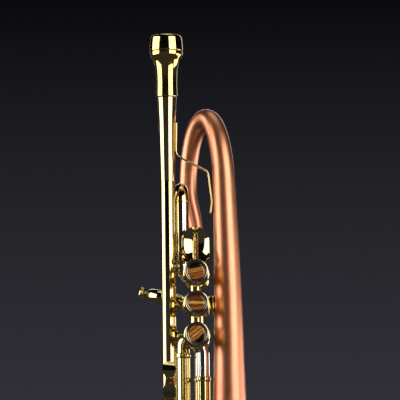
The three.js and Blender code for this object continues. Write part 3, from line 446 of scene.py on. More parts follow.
def drawnTube(name, points, radii, wall=None, smoothness=11):
    # a tube or rod drawn along points; radii may change from point to point
    deselectAll()
    curve = bpy.data.curves.new(name, "CURVE")
    curve.dimensions = "3D"
    curve.bevel_mode = "ROUND"
    curve.bevel_depth = mm
    curve.bevel_resolution = smoothness
    curve.use_fill_caps = wall is None
    curve.twist_mode = "MINIMUM"
    spline = curve.splines.new("POLY")
    spline.points.add(len(points) - 1)
    for slot, point, radius in zip(spline.points, points, radii):
        slot.co = (*at(*point), 1)
        slot.radius = radius
    piece = bpy.data.objects.new(name, curve)
    bpy.context.scene.collection.objects.link(piece)
    bpy.context.view_layer.objects.active = piece
    piece.select_set(True)
    bpy.ops.object.convert(target="MESH")
    bpy.ops.object.mode_set(mode="EDIT")
    closeUp()
    if wall is not None:
        applyModifier(piece, "SOLIDIFY", thickness=wall * mm, offset=-1, use_even_offset=True)
    return piece


def straightTube(name, start, end, radius, wall=None, smoothness=11):
    return drawnTube(name, [Vector(start), Vector(end)], [radius] * 2, wall, smoothness)


def applyModifier(piece, kind, **values):
    deselectAll()
    bpy.context.view_layer.objects.active = piece
    piece.select_set(True)
    modifier = piece.modifiers.new(kind.title(), kind)
    for key, value in values.items():
        setattr(modifier, key, value)
    bpy.ops.object.modifier_apply(modifier=modifier.name)


def boredOut(piece, cutters):
    # cuts the piece with other shapes, which are then thrown away
    for cutter in cutters:
        applyModifier(piece, "BOOLEAN", operation="DIFFERENCE", solver="EXACT", object=cutter)
        bpy.data.objects.remove(cutter)
    return piece


def softened(piece, width, segments, angle):
    # rounds the edges that are sharper than the angle
    applyModifier(piece, "BEVEL", width=width * mm, segments=segments, limit_method="ANGLE",
                  angle_limit=math.radians(angle))


def roller(centre, axis, radius, length, sides=64):
    # a plain cylinder that is only used to cut
    deselectAll()
    turn = Vector((0, 0, 1)).rotation_difference(axis).to_euler()
    bpy.ops.mesh.primitive_cylinder_add(
        vertices=sides, radius=radius * mm, depth=length * mm, location=at(*centre), rotation=turn)
    return bpy.context.object


def joined(name, pieces):
    deselectAll()
    for piece in pieces:
        piece.select_set(True)
    bpy.context.view_layer.objects.active = pieces[0]
    bpy.ops.object.join()
    pieces[0].name = name
    return pieces[0]


def settle(piece, body, material, nodes=(), smooth=35):
    # puts the piece's place into its mesh, shades it, paints it and hands it to its body
    deselectAll()
    bpy.context.view_layer.objects.active = piece
    piece.select_set(True)
    bpy.ops.object.transform_apply(location=True, rotation=True, scale=True)
    bpy.ops.object.shade_smooth_by_angle(angle=math.radians(smooth))
    if material is not None:
        piece.data.materials.clear()
        piece.data.materials.append(material)
    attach(piece, body)
    if nodes:
        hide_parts(*nodes)
    return piece


def fixedBrass(piece, node, smooth=35):
    return settle(piece, "body", brass, [node], smooth)


def painted(piece, material):
    # paints one part of a piece before it is joined to the rest
    piece.data.materials.clear()
    piece.data.materials.append(material)
    return piece


def ringRound(name, centre, axis, inner, outer, length, fillet=0.5):
    # a plain ferrule, centred on its length
    half = length / 2
    return turnedPiece(name, [(inner, -half), (outer, -half), (outer, half), (inner, half)],
                       Vector(centre), axis, fillet, closed=True, steps=48)


tubing = {"outer": 6.6, "wall": 0.45, "inner": 5.85, "innerWall": 0.4, "knuckle": 6.35, "thick": 0.9,
          "ferrule": 7.55, "casingCut": 9.4}
lead = {"x": -25.7, "outer": 6.6, "foot": 190, "top": 449, "receiverFoot": 397, "waist": 455, "mouth": 475,
        "waistRadius": 7.9, "mouthRadius": 9}
valveZ = [(boxOf(f"casing_{k}")[0].z + boxOf(f"casing_{k}")[1].z) / 2 for k in (1, 2, 3)]


def bezier(a, b, c, d, t):
    s = 1 - t
    return a * s ** 3 + b * 3 * s * s * t + c * 3 * s * t * t + d * t ** 3


bell = {
    "x": 29.4, "rim": 61.5, "throat": 14.13, "flareShift": 15.5, "wall": 0.7, "bead": 1.3,
    "straight": 240, "shoulderZ": 395, "bowRise": 63, "lean": 3, "halfSpan": 16.7,
    "tailY": 54, "tailEnd": 352, "ferrule": 7, "tail": 6.5,
    "shoulderRadius": 10.4, "crownRadius": 9.2, "backRadius": 8.3,
}
flarePower = math.log(bell["rim"] / bell["throat"]) / math.log(bell["straight"] / bell["flareShift"] + 1)


def bellRadius(z):
    return bell["rim"] * (bell["flareShift"] / (z + bell["flareShift"])) ** flarePower


def bellRoute():
    b = bell
    foot = Vector((b["x"], 0, b["straight"]))
    shoulder = Vector((b["x"] - b["lean"], b["tailY"] * 0.015, b["shoulderZ"]))
    crown = Vector((shoulder.x - b["halfSpan"], b["tailY"] / 2, b["shoulderZ"] + b["bowRise"]))
    back = Vector((shoulder.x - 2 * b["halfSpan"], b["tailY"], b["shoulderZ"]))
    tail = Vector((0, b["tailY"], b["tailEnd"]))
    roundness = 0.5523
    across = Vector((-b["halfSpan"], b["tailY"] / 2, 0)) * roundness
    rise = up * b["bowRise"] * roundness
    leanBack = Vector((b["lean"] * 0.55, 0, 0))
    low = up * (b["shoulderZ"] - b["straight"]) / 3
    drop = up * (b["tailEnd"] - b["shoulderZ"]) / 3
    parts = [
        (foot, foot + low, shoulder - low + leanBack, shoulder, b["throat"], b["shoulderRadius"], 16),
        (shoulder, shoulder + rise - leanBack * 0.6, crown - across, crown,
         b["shoulderRadius"], b["crownRadius"], 16),
        (crown, crown + across, back + rise, back, b["crownRadius"], b["backRadius"], 16),
        (back, back + drop, tail - drop, tail, b["backRadius"], b["tail"], 10),
    ]
    points, radii = [], []
    steps = 60
    for i in range(steps + 1):
        z = b["bead"] + (b["straight"] - b["bead"]) * (i / steps) ** 2.6
        points.append(Vector((b["x"], 0, z)))
        radii.append(bellRadius(z) - 0.1)
    for start, first, second, end, wide, narrow, count in parts:
        for i in range(1, count + 1):
            points.append(bezier(start, first, second, end, i / count))
            radii.append(wide + (narrow - wide) * i / count)
    return points, radii


def makeBell():
    points, radii = bellRoute()
    horn = drawnTube("bellHorn", points, radii, bell["wall"], smoothness=22)
    deselectAll()
    bpy.ops.mesh.primitive_torus_add(
        major_segments=128, minor_segments=20, major_radius=(bell["rim"] - bell["bead"]) * mm,
        minor_radius=bell["bead"] * mm, location=at(bell["x"], 0, bell["bead"]))
    bead = bpy.context.object
    horn = joined("bellHorn", [horn, bead])
    settle(horn, "body", copper, ["bell"])
    tailZ = bell["tailEnd"]
    start = (0, bell["tailY"], valveZ[0])
    sleeve = straightTube("bellTail", start, (0, bell["tailY"], tailZ - 0.5), tubing["knuckle"],
                          tubing["thick"])
    boredOut(sleeve, [roller(start, inward, tubing["casingCut"], 60)])
    ferrule = ringRound("tailFerrule", (0, bell["tailY"], tailZ - 3), up, bell["tail"] - 0.2, 7.6,
                        bell["ferrule"])
    fixedBrass(joined("bellTail", [sleeve, ferrule]), "bell_tail_ferrule")


makeBell()
print("bell ready")


def makeLeadpipe():
    axisFoot = Vector((lead["x"], 0, 0))
    pipe = turnedPiece("leadpipe", [
        (5.7, lead["foot"]), (lead["outer"], lead["foot"]), (lead["outer"], lead["receiverFoot"] - 0.3),
        (5.6, lead["receiverFoot"] - 0.3), (5.6, lead["top"]), (4.7, lead["top"]), (4.7, 377),
    ], axisFoot, up, 0.1, closed=True)
    fixedBrass(pipe, "leadpipe")
    mouth = lead["mouth"]
    cup = turnedPiece("receiver", [
        (5.9, lead["receiverFoot"]), (lead["outer"] + 0.02, lead["receiverFoot"] - 0.25),
        (lead["waistRadius"], lead["waist"]), (lead["mouthRadius"] - 0.15, mouth - 1.6),
        (lead["mouthRadius"], mouth - 0.6), (lead["mouthRadius"], mouth),
        (5.9, mouth)], axisFoot, up, 0.5, closed=True, steps=80)
    fixedBrass(cup, "receiver")

    piece = {"rim": 14.4, "top": 533.5, "cup": 15.4, "band": 518, "bowl": 505, "body": 9.9}
    joint = mouth + 0.3
    top = piece["top"]
    blank = turnedPiece("mouthpiece", [
        (4.9, mouth - 22), (5.2, joint), (9.5, joint), (piece["body"], joint + 0.7),
        (piece["body"] - 0.35, joint + 12), (piece["body"] - 0.2, piece["bowl"] - 10),
        (piece["body"] + 0.15, piece["bowl"] - 4), (piece["body"] + 0.9, piece["bowl"]),
        (piece["cup"] - 3.4, piece["bowl"] + 4.6), (piece["cup"] - 1.2, piece["bowl"] + 7.8),
        (piece["cup"] - 0.45, piece["band"] - 3.6), (piece["cup"] - 0.2, piece["band"] - 0.6),
        (piece["cup"] - 0.75, piece["band"]), (piece["cup"] - 0.05, piece["band"] + 0.6),
        (piece["cup"], piece["band"] + 1.4), (piece["cup"] - 0.35, top - 8), (piece["rim"] + 0.05, top - 2.6),
        (piece["rim"] - 0.9, top - 0.7), (piece["rim"] - 2.6, top - 0.02), (piece["rim"] - 4.6, top - 0.3),
        (8.4, top - 1.7), (8.1, top - 3.2), (7.4, top - 8), (4.6, top - 12.6), (2.3, top - 16),
        (1.9, top - 18), (1.9, top - 24), (3.9, mouth - 22),
    ], axisFoot, up, 1.1, closed=True, steps=96)
    settle(blank, "mouthpiece", mouthGold, ["mouthpiece"])


makeLeadpipe()
print("leadpipe and mouthpiece ready")


cap = {"radius": 12.1, "face": -31, "plate": 2.2, "skirt": 8, "hole": 4.4, "bottomRadius": 11.6,
       "knurlDepth": 0.28, "knurls": 54}
button = {"radius": 10.85, "foot": -50.6, "depth": 9, "stone": 7.35, "stoneDepth": 1.8, "stem": 2.6}


def knurled(piece, centreZ, low, high, radius):
    # pushes every other column of a cap's grip band inwards
    depth, count = cap["knurlDepth"], cap["knurls"]
    deselectAll()
    bpy.context.view_layer.objects.active = piece
    piece.select_set(True)
    mesh = piece.data
    centre = at(0, 0, centreZ)
    for vertex in mesh.vertices:
        place = vertex.co - centre
        y = (vertex.co.y - rowShift.y) / mm
        away = math.hypot(place.x, place.z) / mm
        if low < y < high and away > radius - 0.05:
            wave = 0.5 - 0.5 * math.cos(math.atan2(place.z, place.x) * count)
            shrink = 1 - depth * wave / away
            vertex.co.x = centre.x + place.x * shrink
            vertex.co.z = centre.z + place.z * shrink


def modelValve():
    # the first valve's pieces: name, piece, whether it moves, finish, node, slot and shading angle
    heart = Vector((0, 0, valveZ[0]))
    low, high = boxOf("casing_1")
    front, back = low.y, high.y
    casing = turnedPiece("casing", [
        (8.85, front), (9.6, front), (9.6, front + 8), (10, front + 9), (10, back - 9), (9.6, back - 8),
        (9.6, back), (8.85, back)], heart, inward, 0.3, closed=True, steps=72)
    bands = [ringRound("band", heart + inward * y, inward, 9.7, 10.32, 1.6, 0.3)
             for y in (front + 12.5, back - 12.5)]
    casing = joined("casing", [casing, *bands])

    face = cap["face"]
    inside = face + cap["plate"]
    end = inside + cap["skirt"]
    wide = cap["radius"]
    top = turnedPiece("topCap", [
        (cap["hole"], face + 0.5), (cap["hole"] + 0.5, face), (7.2, face), (7.6, face + 0.35),
        (10.2, face + 0.35), (wide - 0.9, face + 0.45), (wide - 0.15, face + 1.1), (wide, face + 2.0),
        (wide, face + 2.4), (wide, face + 6.0), (wide, face + 6.4), (11.3, face + 6.9),
        (11.3, face + 7.5), (11.7, face + 8.0), (11.7, end), (10.3, end), (10.3, inside),
        (cap["hole"], inside),
    ], heart, inward, 0.25, closed=True, steps=216)
    knurled(top, valveZ[0], face + 2.2, face + 6.2, wide)

    capEnd = boxOf("bottom_cap_1")[1].y
    wide = cap["bottomRadius"]
    bottom = turnedPiece("bottomCap", [
        (1.5, capEnd), (2.6, capEnd), (3.4, capEnd - 0.9), (6.6, capEnd - 1.0), (9.2, capEnd - 1.6),
        (wide - 0.5, capEnd - 3.4), (wide, capEnd - 4.4), (wide, capEnd - 4.8), (wide, back - 3.4),
        (wide, back - 3.8), (10.9, back - 4.4), (10.9, back - 6.9), (10.3, back - 6.9), (10.3, back + 0.4),
        (8, back + 2), (1.5, capEnd - 1.7),
    ], heart, inward, 0.25, closed=True, steps=216)
    knurled(bottom, valveZ[0], back - 3.6, capEnd - 4.6, wide)

    foot = button["foot"]
    face = foot - button["depth"]
    seat = face + button["stoneDepth"]
    wide = button["radius"]
    stem = turnedPiece("fingerButton", [
        (0, -26.9), (1.5, -26.9), (1.5, -28.7), (button["stem"], -28.7), (button["stem"], foot - 0.1),
        (wide - 3.4, foot), (wide - 1.5, foot - 0.5), (wide - 0.45, foot - 1.6), (wide - 0.9, foot - 2.7),
        (wide - 0.9, foot - 3.5), (wide - 0.1, foot - 4.4), (wide, foot - 6.4), (wide, face + 0.7),
        (wide - 0.15, face + 0.35), (wide - 0.45, face + 0.2), (wide - 0.85, face), (wide - 1.3, face + 0.1),
        (wide - 1.5, face + 0.3), (button["stone"] + 0.75, face + 0.2), (button["stone"] + 0.45, face + 0.35),
        (button["stone"] + 0.3, face + 0.6), (button["stone"] + 0.3, seat), (0, seat),
    ], heart, inward, 0.12, steps=96)
    stone = turnedPiece("buttonStone", [
        (0, seat - 0.3), (button["stone"], seat - 0.3), (button["stone"], seat - 1.35),
        (button["stone"] - 1.1, seat - 1.72), (button["stone"] - 3, seat - 1.68), (0, seat - 1.5),
    ], heart, inward, 0.35, steps=72)
    low, high = boxOf("felt_1")
    pad = turnedPiece("buttonFelt", [
        (2.9, low.y), (7.3, low.y), (7.5, (low.y + high.y) / 2), (7.3, high.y), (2.9, high.y)],
        heart, inward, 0.6, closed=True, steps=64)

    low, high = boxOf("piston_spring_1")
    coil = {"turns": 6, "perTurn": 24, "radius": 6.2, "wire": 0.4}
    count = coil["turns"] * coil["perTurn"]
    line = []
    for i in range(count + 1):
        angle = 2 * math.pi * i / coil["perTurn"]
        y = high.y - coil["wire"] + (low.y - high.y + 2 * coil["wire"]) * i / count
        across, height = coil["radius"] * math.cos(angle), coil["radius"] * math.sin(angle)
        line.append(Vector((across, y, valveZ[0] + height)))
    springCoil = drawnTube("pistonSpring", line, [coil["wire"]] * len(line), smoothness=3)
    return [
        ("casing", casing, False, brass, "casing", "polished_brass", 35),
        ("topCap", top, False, brass, "top_cap", "polished_brass", 50),
        ("bottomCap", bottom, False, brass, "bottom_cap", "polished_brass", 50),
        ("fingerButton", stem, True, buttonBrass, "stem", "polished_brass", 35),
        ("buttonStone", stone, True, None, "button_stone", "button_stone", 35),
        ("buttonFelt", pad, True, feltCloth, "felt", "black_felt", 35),
        ("pistonSpring", springCoil, False, steel, "piston_spring", "spring_steel", 35),
    ]


def copied(piece, drop):
    # a copy with its own mesh, lower by so much
    deselectAll()
    piece.select_set(True)
    bpy.context.view_layer.objects.active = piece
    bpy.ops.object.duplicate()
    copy = bpy.context.object
    copy.location.z -= drop * mm
    return copy


def makeValves():
    for name, first, moves, finish, node, slotName, smooth in modelValve():
        pieces = [first, *[copied(first, valveZ[0] - z) for z in valveZ[1:]]]
        for n, piece in enumerate(pieces, 1):
            piece.name = f"{name}{n}"
            settle(piece, f"valve_{n}" if moves else "body", finish or stones[n - 1], [f"{node}_{n}"],
                   smooth)
            if name == "pistonSpring":
                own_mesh(piece)


makeValves()

for low, high, level in ((2, 1, 24), (3, 2, 28)):
    foot, head = valveZ[low - 1], valveZ[high - 1]
    bridge = straightTube(f"crossover{high}{low}", (0, level, foot), (0, level, head), tubing["knuckle"],
                          tubing["thick"])
    boredOut(bridge, [roller((0, level, z), inward, tubing["casingCut"], 60) for z in (foot, head)])
    fixedBrass(bridge, f"crossover_{high}_{low}")
print("valves ready")


def uBow(front, rear, out, start, reach):
    # the centre line of two legs and a half-round bow
    front, rear = Vector(front), Vector(rear)
    corners = [front + out * start, front + out * reach, rear + out * reach, rear + out * start]
    return route(corners, (rear - front).length / 2)


def fixedLeg(name, corners, ringAt, end, out, tube, knuckleMetal, tubeMetal, ringMetal, nodes,
             casing, bend=8.5):
    # knuckle, ferrule and straight tube of a fixed slide leg
    ringAt = Vector(ringAt)
    points = route([*corners, ringAt], bend)
    knuckle = drawnTube(name, points, [tubing["knuckle"]] * len(points), tubing["thick"])
    boredOut(knuckle, [roller((0, casing[0], casing[1]), inward, tubing["casingCut"], 40)])
    painted(knuckle, knuckleMetal)
    straight = painted(straightTube(name, ringAt - out * 0.5, end, tube, tubing["wall"]), tubeMetal)
    ringInner = min(tube, 6.3) - 0.3
    rings = [(0, tubing["ferrule"], 3.5, 0.7), (-2.2, 6.95, 0.9, 0.4), (2.2, 6.95, 0.9, 0.4)]
    rings = [painted(ringRound(name, ringAt + out * shift, out, ringInner, *size), ringMetal)
             for shift, *size in rings]
    settle(joined(name, [knuckle, straight, *rings]), "body", None, nodes)


def legTubes(bases, axis, root, shoulder, bandAt, bandSize):
    # the inner tubes of a moving slide, each with a band where the bow begins
    parts = []
    for base in bases:
        tube = straightTube("leg", base + axis * root, base + axis * shoulder, tubing["inner"],
                            tubing["innerWall"])
        parts.append(painted(tube, nickel))
        parts.append(painted(ringRound("bowBand", base + axis * bandAt, axis, 5.9, *bandSize), brass))
    return parts


def bowTube(points, radius):
    return painted(drawnTube("bow", points, [radius] * len(points), tubing["thick"]), brass)


first = {"x": -13.4, "front": 8, "rear": 32, "ring": 325.5, "engage": 45, "tip": 397}


def firstSlide():
    for label, y in (("Front", first["front"]), ("Rear", first["rear"])):
        fixedLeg(f"slide1Knuckle{label}", [(0, y, valveZ[0]), (first["x"], y, valveZ[0])],
                 (first["x"], y, first["ring"]), (first["x"], y, first["ring"] + first["engage"]), up,
                 tubing["inner"], nickel, nickel, nickel, [f"slide1_knuckle_{label.lower()}"],
                 (y, valveZ[0]))
    root = boxOf("slide1_crook")[0].z
    reach = first["tip"] - tubing["outer"]
    radius = (first["rear"] - first["front"]) / 2
    shoulder = reach - radius
    legs = []
    for y in (first["front"], first["rear"]):
        tube = straightTube("leg", (first["x"], y, root), (first["x"], y, shoulder), tubing["outer"],
                            tubing["wall"])
        end = ringRound("legEnd", (first["x"], y, root + 1.6), up, 6.2, 7.1, 3.2, 0.6)
        band = ringRound("bowBand", (first["x"], y, shoulder + 0.6), up, 6.2, 7.1, 2.2, 0.7)
        legs += [painted(tube, nickel), painted(end, nickel), painted(band, brass)]
    points = uBow((first["x"], first["front"], 0), (first["x"], first["rear"], 0), up, shoulder - 0.2, reach)
    bow = bowTube(points, tubing["outer"] - 0.05)
    settle(joined("slide1Crook", [bow, *legs]), "first_slide", None, ["slide1_crook"])


def secondSlide():
    second = {"front": 16, "rear": 40, "tilt": 15, "outerEnd": 27, "tip": 49.4, "engage": 15}
    tilt = math.radians(second["tilt"])
    out = Vector((-math.cos(tilt), 0, math.sin(tilt)))
    for label, y in (("Front", second["front"]), ("Rear", second["rear"])):
        start = Vector((0, y, valveZ[1]))
        sleeve = straightTube("sleeve", start, start + out * second["outerEnd"], tubing["outer"],
                              tubing["wall"])
        boredOut(sleeve, [roller((0, y, valveZ[1]), inward, tubing["casingCut"], 40)])
        band = ringRound("band", start + out * (second["outerEnd"] - 1.75), out, 6.2, 7.35, 3.5, 0.7)
        flange = ringRound("flange", start + out * 12.4, out, 6.2, 7.2, 1.6, 0.6)
        outer = joined(f"slide2Outer{label}", [sleeve, band, flange])
        fixedBrass(outer, f"slide2_outer_{label.lower()}")
    reach = second["tip"] - tubing["outer"]
    front, rear = Vector((0, second["front"], valveZ[1])), Vector((0, second["rear"], valveZ[1]))
    shoulder = second["outerEnd"] + 0.3
    points = uBow(front, rear, out, shoulder, reach)
    bow = bowTube(points, tubing["outer"] - 0.02)
    legs = legTubes((front, rear), out, second["outerEnd"] - second["engage"], shoulder + 1, shoulder + 1.6,
                    (7.1, 2.6, 0.7))
    settle(joined("slide2Crook", [bow, *legs]), "second_slide", None, ["slide2_crook"])
    knob = {"radius": 5.5, "depth": 5, "neck": 1.8, "neckLength": 1.6}
    base = (front + rear) / 2 + out * (second["tip"] + 0.05)
    neck, r, d = knob["neckLength"], knob["radius"], knob["depth"]
    finial = turnedPiece("slide2Knob", [
        (0, -0.6), (knob["neck"] + 1.6, -0.2), (knob["neck"] + 0.2, 0.7), (knob["neck"], neck),
        (r - 1.6, neck + 0.5), (r - 0.4, neck + 1.2), (r, neck + 2.2), (r, neck + d - 1.8),
        (r - 0.7, neck + d - 0.7), (r - 2.2, neck + d - 0.15), (0, neck + d)], base, out, 0.7, steps=64)
    settle(finial, "second_slide", brass, ["slide2_knob"])


def thirdSlide():
    third = {"front": (5.5, 12), "rear": (3.8, 42), "ring": 214, "outerEnd": 165, "tip": 135, "engage": 43}
    out = -up
    for label, (x, y) in (("Front", third["front"]), ("Rear", third["rear"])):
        fixedLeg(f"slide3Outer{label}", [(0, y, valveZ[2] - 3), (x, y, valveZ[2] - 13)],
                 (x, y, third["ring"]), (x, y, third["outerEnd"]), out, tubing["outer"],
                 nickel, brass, brass, [f"slide3_outer_{label.lower()}"], (y, valveZ[2]))
    front = Vector((*third["front"], 0))
    rear = Vector((*third["rear"], 0))
    shoulder = third["outerEnd"] - 0.3
    reach = third["tip"] + tubing["outer"]
    points = uBow(front, rear, up, shoulder, reach)
    parts = [bowTube(points, tubing["outer"] - 0.02)]
    parts += legTubes((front, rear), up, third["outerEnd"] + third["engage"], shoulder - 1, shoulder - 1.6,
                      (7.1, 2.8, 0.7))
    rod = {"x": third["rear"][0], "y": third["rear"][1] + 10.4, "radius": 1.4, "bar": 1.7}
    away = (rear - front).normalized()
    barZ = third["outerEnd"] - 3
    bar = straightTube("bar", front + away * 6 + up * barZ, rear - away * 6 + up * barZ, rod["bar"],
                       smoothness=5)
    parts.append(painted(bar, brass))
    legEdge = third["rear"][1] + tubing["outer"] - 0.3
    arm = [Vector((rod["x"], legEdge, barZ)), Vector((rod["x"], rod["y"] - 1.9, barZ))]
    parts.append(painted(drawnTube("arm", arm, [1.5, 1.3], smoothness=5), brass))
    eye = ringRound("eye", (rod["x"], rod["y"], barZ), up, rod["radius"] + 0.3, 2.9, 3, 0.4)
    parts.append(painted(eye, brass))
    settle(joined("slide3Crook", parts), "third_slide", None, ["slide3_crook"])

    fixed = third["ring"]
    rodEnd = boxOf("stop_rod")[0].z
    rodFoot = Vector((rod["x"], rod["y"], 0))
    reach = [Vector((rod["x"], third["rear"][1] + tubing["ferrule"] - 0.1, fixed)),
             Vector((rod["x"], rod["y"] - 1.6, fixed))]
    stop = [
        drawnTube("arm", reach, [1.6, 1.4], smoothness=5),
        turnedPiece("rod", [
            (0, rodEnd), (1.0, rodEnd), (rod["radius"], rodEnd + 0.5), (rod["radius"], fixed - 1.6),
            (2.3, fixed - 1.4), (2.3, fixed + 1.4), (1.6, fixed + 2.4), (0, fixed + 2.5)],
            rodFoot, up, 0.2, steps=32)]
    fixedBrass(joined("stopRod", stop), "stop_rod")
    low, high = boxOf("stop_nut")
    nut = turnedPiece("stopNut", [
        (1.7, low.z), (2.5, low.z), (3, low.z + 0.5), (3, low.z + 1.2), (2.6, low.z + 1.5),
        (2.6, high.z - 1.5), (3, high.z - 1.2), (3, high.z - 0.5), (2.5, high.z), (1.7, high.z)],
        rodFoot, up, 0.2, closed=True, steps=48)
    fixedBrass(nut, "stop_nut")

    ring = {"radius": 11.5, "wire": 1.6, "z": 150, "widening": 1.25, "footWidth": 2.4, "footHalf": 8}
    surface = third["front"][1] - tubing["outer"]
    centre = at(third["front"][0], surface - 0.3 - ring["radius"] - ring["wire"], ring["z"])
    deselectAll()
    bpy.ops.mesh.primitive_torus_add(
        major_segments=96, minor_segments=24, major_radius=ring["radius"] * mm,
        minor_radius=ring["wire"] * mm, location=centre, rotation=(0, math.pi / 2, 0))
    hoop = bpy.context.object
    bpy.ops.object.mode_set(mode="EDIT")
    bpy.ops.mesh.select_all(action="SELECT")
    bpy.ops.transform.resize(value=(ring["widening"], 1, 1))
    bpy.ops.object.mode_set(mode="OBJECT")
    x, wide, tall = third["front"][0], ring["footWidth"], ring["footHalf"]
    base = roundedBlock("ringFoot", (x - wide, surface - 2.8, ring["z"] - tall),
                        (x + wide, surface + 1.4, ring["z"] + tall), 1.1)
    boredOut(base, [roller((*third["front"], ring["z"]), up, tubing["outer"] + 0.05, 40)])
    settle(joined("fingerRing", [hoop, base]), "third_slide", brass, ["finger_ring"])


def roundedBlock(name, low, high, edge):
    # a small solid block with softened edges
    deselectAll()
    low, high = Vector(low), Vector(high)
    bpy.ops.mesh.primitive_cube_add(size=1, location=at(*((low + high) / 2)))
    block = bpy.context.object
    block.name = name
    bpy.ops.object.mode_set(mode="EDIT")
    bpy.ops.mesh.select_all(action="SELECT")
    bpy.ops.transform.resize(value=(high - low) * mm)
    bpy.ops.mesh.bevel(offset=edge * mm, segments=4, affect="EDGES")
    bpy.ops.object.mode_set(mode="OBJECT")
    return block


def tuningSlide():
    tuning = {"front": (lead["x"], 0), "rear": (-13, 48), "ring": 237, "outerEnd": 150, "tip": 95,
              "engage": 35, "braceRise": 14}
    out = -up
    foot = boxOf("leadpipe")[0].z
    x, y = tuning["front"]
    sleeve = straightTube("sleeve", (x, y, foot - 0.3), (x, y, tuning["outerEnd"]), tubing["outer"],
                          tubing["wall"])
    band = ringRound("band", (x, y, foot - 2.2), up, 6.2, 7.35, 3.4, 0.7)
    lip = ringRound("lip", (x, y, tuning["outerEnd"] + 1.6), up, 6.2, 7.1, 3.0, 0.6)
    fixedBrass(joined("tuningOuterFront", [sleeve, band, lip]), "tuning_outer_front")
    x, y = tuning["rear"]
    fixedLeg("tuningOuterRear", [(0, y, valveZ[2]), (x, y, valveZ[2])], (x, y, tuning["ring"]),
             (x, y, tuning["outerEnd"]), out, tubing["outer"], brass, brass, brass,
             ["tuning_outer_rear"], (y, valveZ[2]), bend=8)
    front = Vector((*tuning["front"], 0))
    rear = Vector((*tuning["rear"], 0))
    shoulder = tuning["outerEnd"] - 0.3
    points = uBow(front, rear, up, shoulder, tuning["tip"] + tubing["outer"])
    parts = [bowTube(points, tubing["outer"] - 0.02)]
    parts += legTubes((front, rear), up, tuning["outerEnd"] + tuning["engage"], shoulder - 1, shoulder - 1.9,
                      (7.15, 3.4, 0.8))
    settle(joined("tuningCrook", parts), "tuning_slide", None, ["tuning_crook"])

    away = (rear - front).normalized()
    z = tuning["outerEnd"] + tuning["braceRise"]
    line = [front + away * 6.4 + up * z, rear - away * 6.4 + up * z]
    half = (line[1] - line[0]).length / 2
    brace = turnedPiece("tuningBrace", [
        (0, -half), (4, -half), (4, -half + 1.1), (2.2, -half + 2.0), (1.6, -half + 5), (1.5, -3),
        (2.3, -1.6), (2.5, 0), (2.3, 1.6), (1.5, 3), (1.6, half - 5), (2.2, half - 2.0),
        (4, half - 1.1), (4, half), (0, half)], (line[0] + line[1]) / 2, away, 0.8, steps=40)
    fixedBrass(brace, "tuning_brace")
    return tuning


firstSlide()
secondSlide()
thirdSlide()
tuning = tuningSlide()
print("slides ready")


def makeWaterKey():
    key = {"z": 128, "pivot": 140, "end": 163, "standOff": 12.4, "width": 5, "sheet": 1.6,
           "nipple": 3, "height": 3, "pin": 0.7}
    front, rear = Vector((*tuning["front"], 0)), Vector((*tuning["rear"], 0))
    away = (rear - front).normalized()
    across = away.cross(up)

    def spot(distance, z, sideways=0.0):
        return rear + away * distance + across * sideways + up * z

    surface = tubing["outer"]
    turn = Matrix((away, across, up)).transposed().to_euler()

    def block(middlePoint, size, edge):
        deselectAll()
        bpy.ops.mesh.primitive_cube_add(size=1, location=at(*middlePoint), rotation=turn)
        piece = bpy.context.object
        piece.scale = Vector(size) * mm
        bpy.ops.object.transform_apply(location=False, rotation=False, scale=True)
        bpy.ops.object.mode_set(mode="EDIT")
        bpy.ops.mesh.select_all(action="SELECT")
        bpy.ops.mesh.bevel(offset=edge * mm, segments=3, affect="EDGES")
        bpy.ops.object.mode_set(mode="OBJECT")
        return piece

    half = key["width"] / 2
    wing = half + 0.3 + 0.8
    parts = [turnedPiece("nipple", [
        (1.4, 4), (key["nipple"] + 0.4, 4), (key["nipple"] + 0.4, surface + 0.9),
        (key["nipple"], surface + 1.6), (key["nipple"], surface + 2.9),
        (key["nipple"] - 0.6, surface + key["height"] + 0.3), (1.4, surface + key["height"] + 0.3)],
        rear + up * key["z"], away, 0.3, closed=True, steps=40)]
    parts.append(block(spot(surface - 0.3, (key["z"] + key["pivot"]) / 2), (3.0, 6.2, 17), 0.8))
    for s in (-1, 1):
        parts.append(block(spot((4 + key["standOff"] + 1.8) / 2, key["pivot"], s * wing),
                           (key["standOff"] - 2.2, 1.6, 4), 0.5))
    parts.append(straightTube("pin", spot(key["standOff"], key["pivot"], -wing - 1),
                              spot(key["standOff"], key["pivot"], wing + 1), key["pin"], smoothness=5))
    saddle = joined("keySaddle", parts)
    boredOut(saddle, [roller(spot(0, 135), up, tubing["outer"] - 0.35, 60)])
    settle(saddle, "tuning_slide", nickel, ["key_saddle"])

    lever = block(spot(key["standOff"], (key["z"] - 3.6 + key["end"]) / 2),
                  (key["sheet"], key["width"], key["end"] - key["z"] + 3.6), 0.6)
    barrel = turnedPiece("barrel", [(1.0, -half), (1.9, -half), (1.9, half), (1.0, half)],
                         spot(key["standOff"], key["pivot"]), across, 0.3, closed=True, steps=32)
    settle(joined("waterKey", [lever, barrel]), "water_key", nickel, ["water_key"])
    corkFoot = surface + key["height"] + 0.6
    pad = turnedPiece("keyCork", [(0, corkFoot), (2.9, corkFoot), (3.2, corkFoot + 0.4),
                                  (3.2, key["standOff"] - 0.85), (0, key["standOff"] - 0.85)],
                      rear + up * key["z"], away, 0.2, steps=40)
    settle(pad, "water_key", corkWood, ["key_cork"])


makeWaterKey()
print("water key ready")


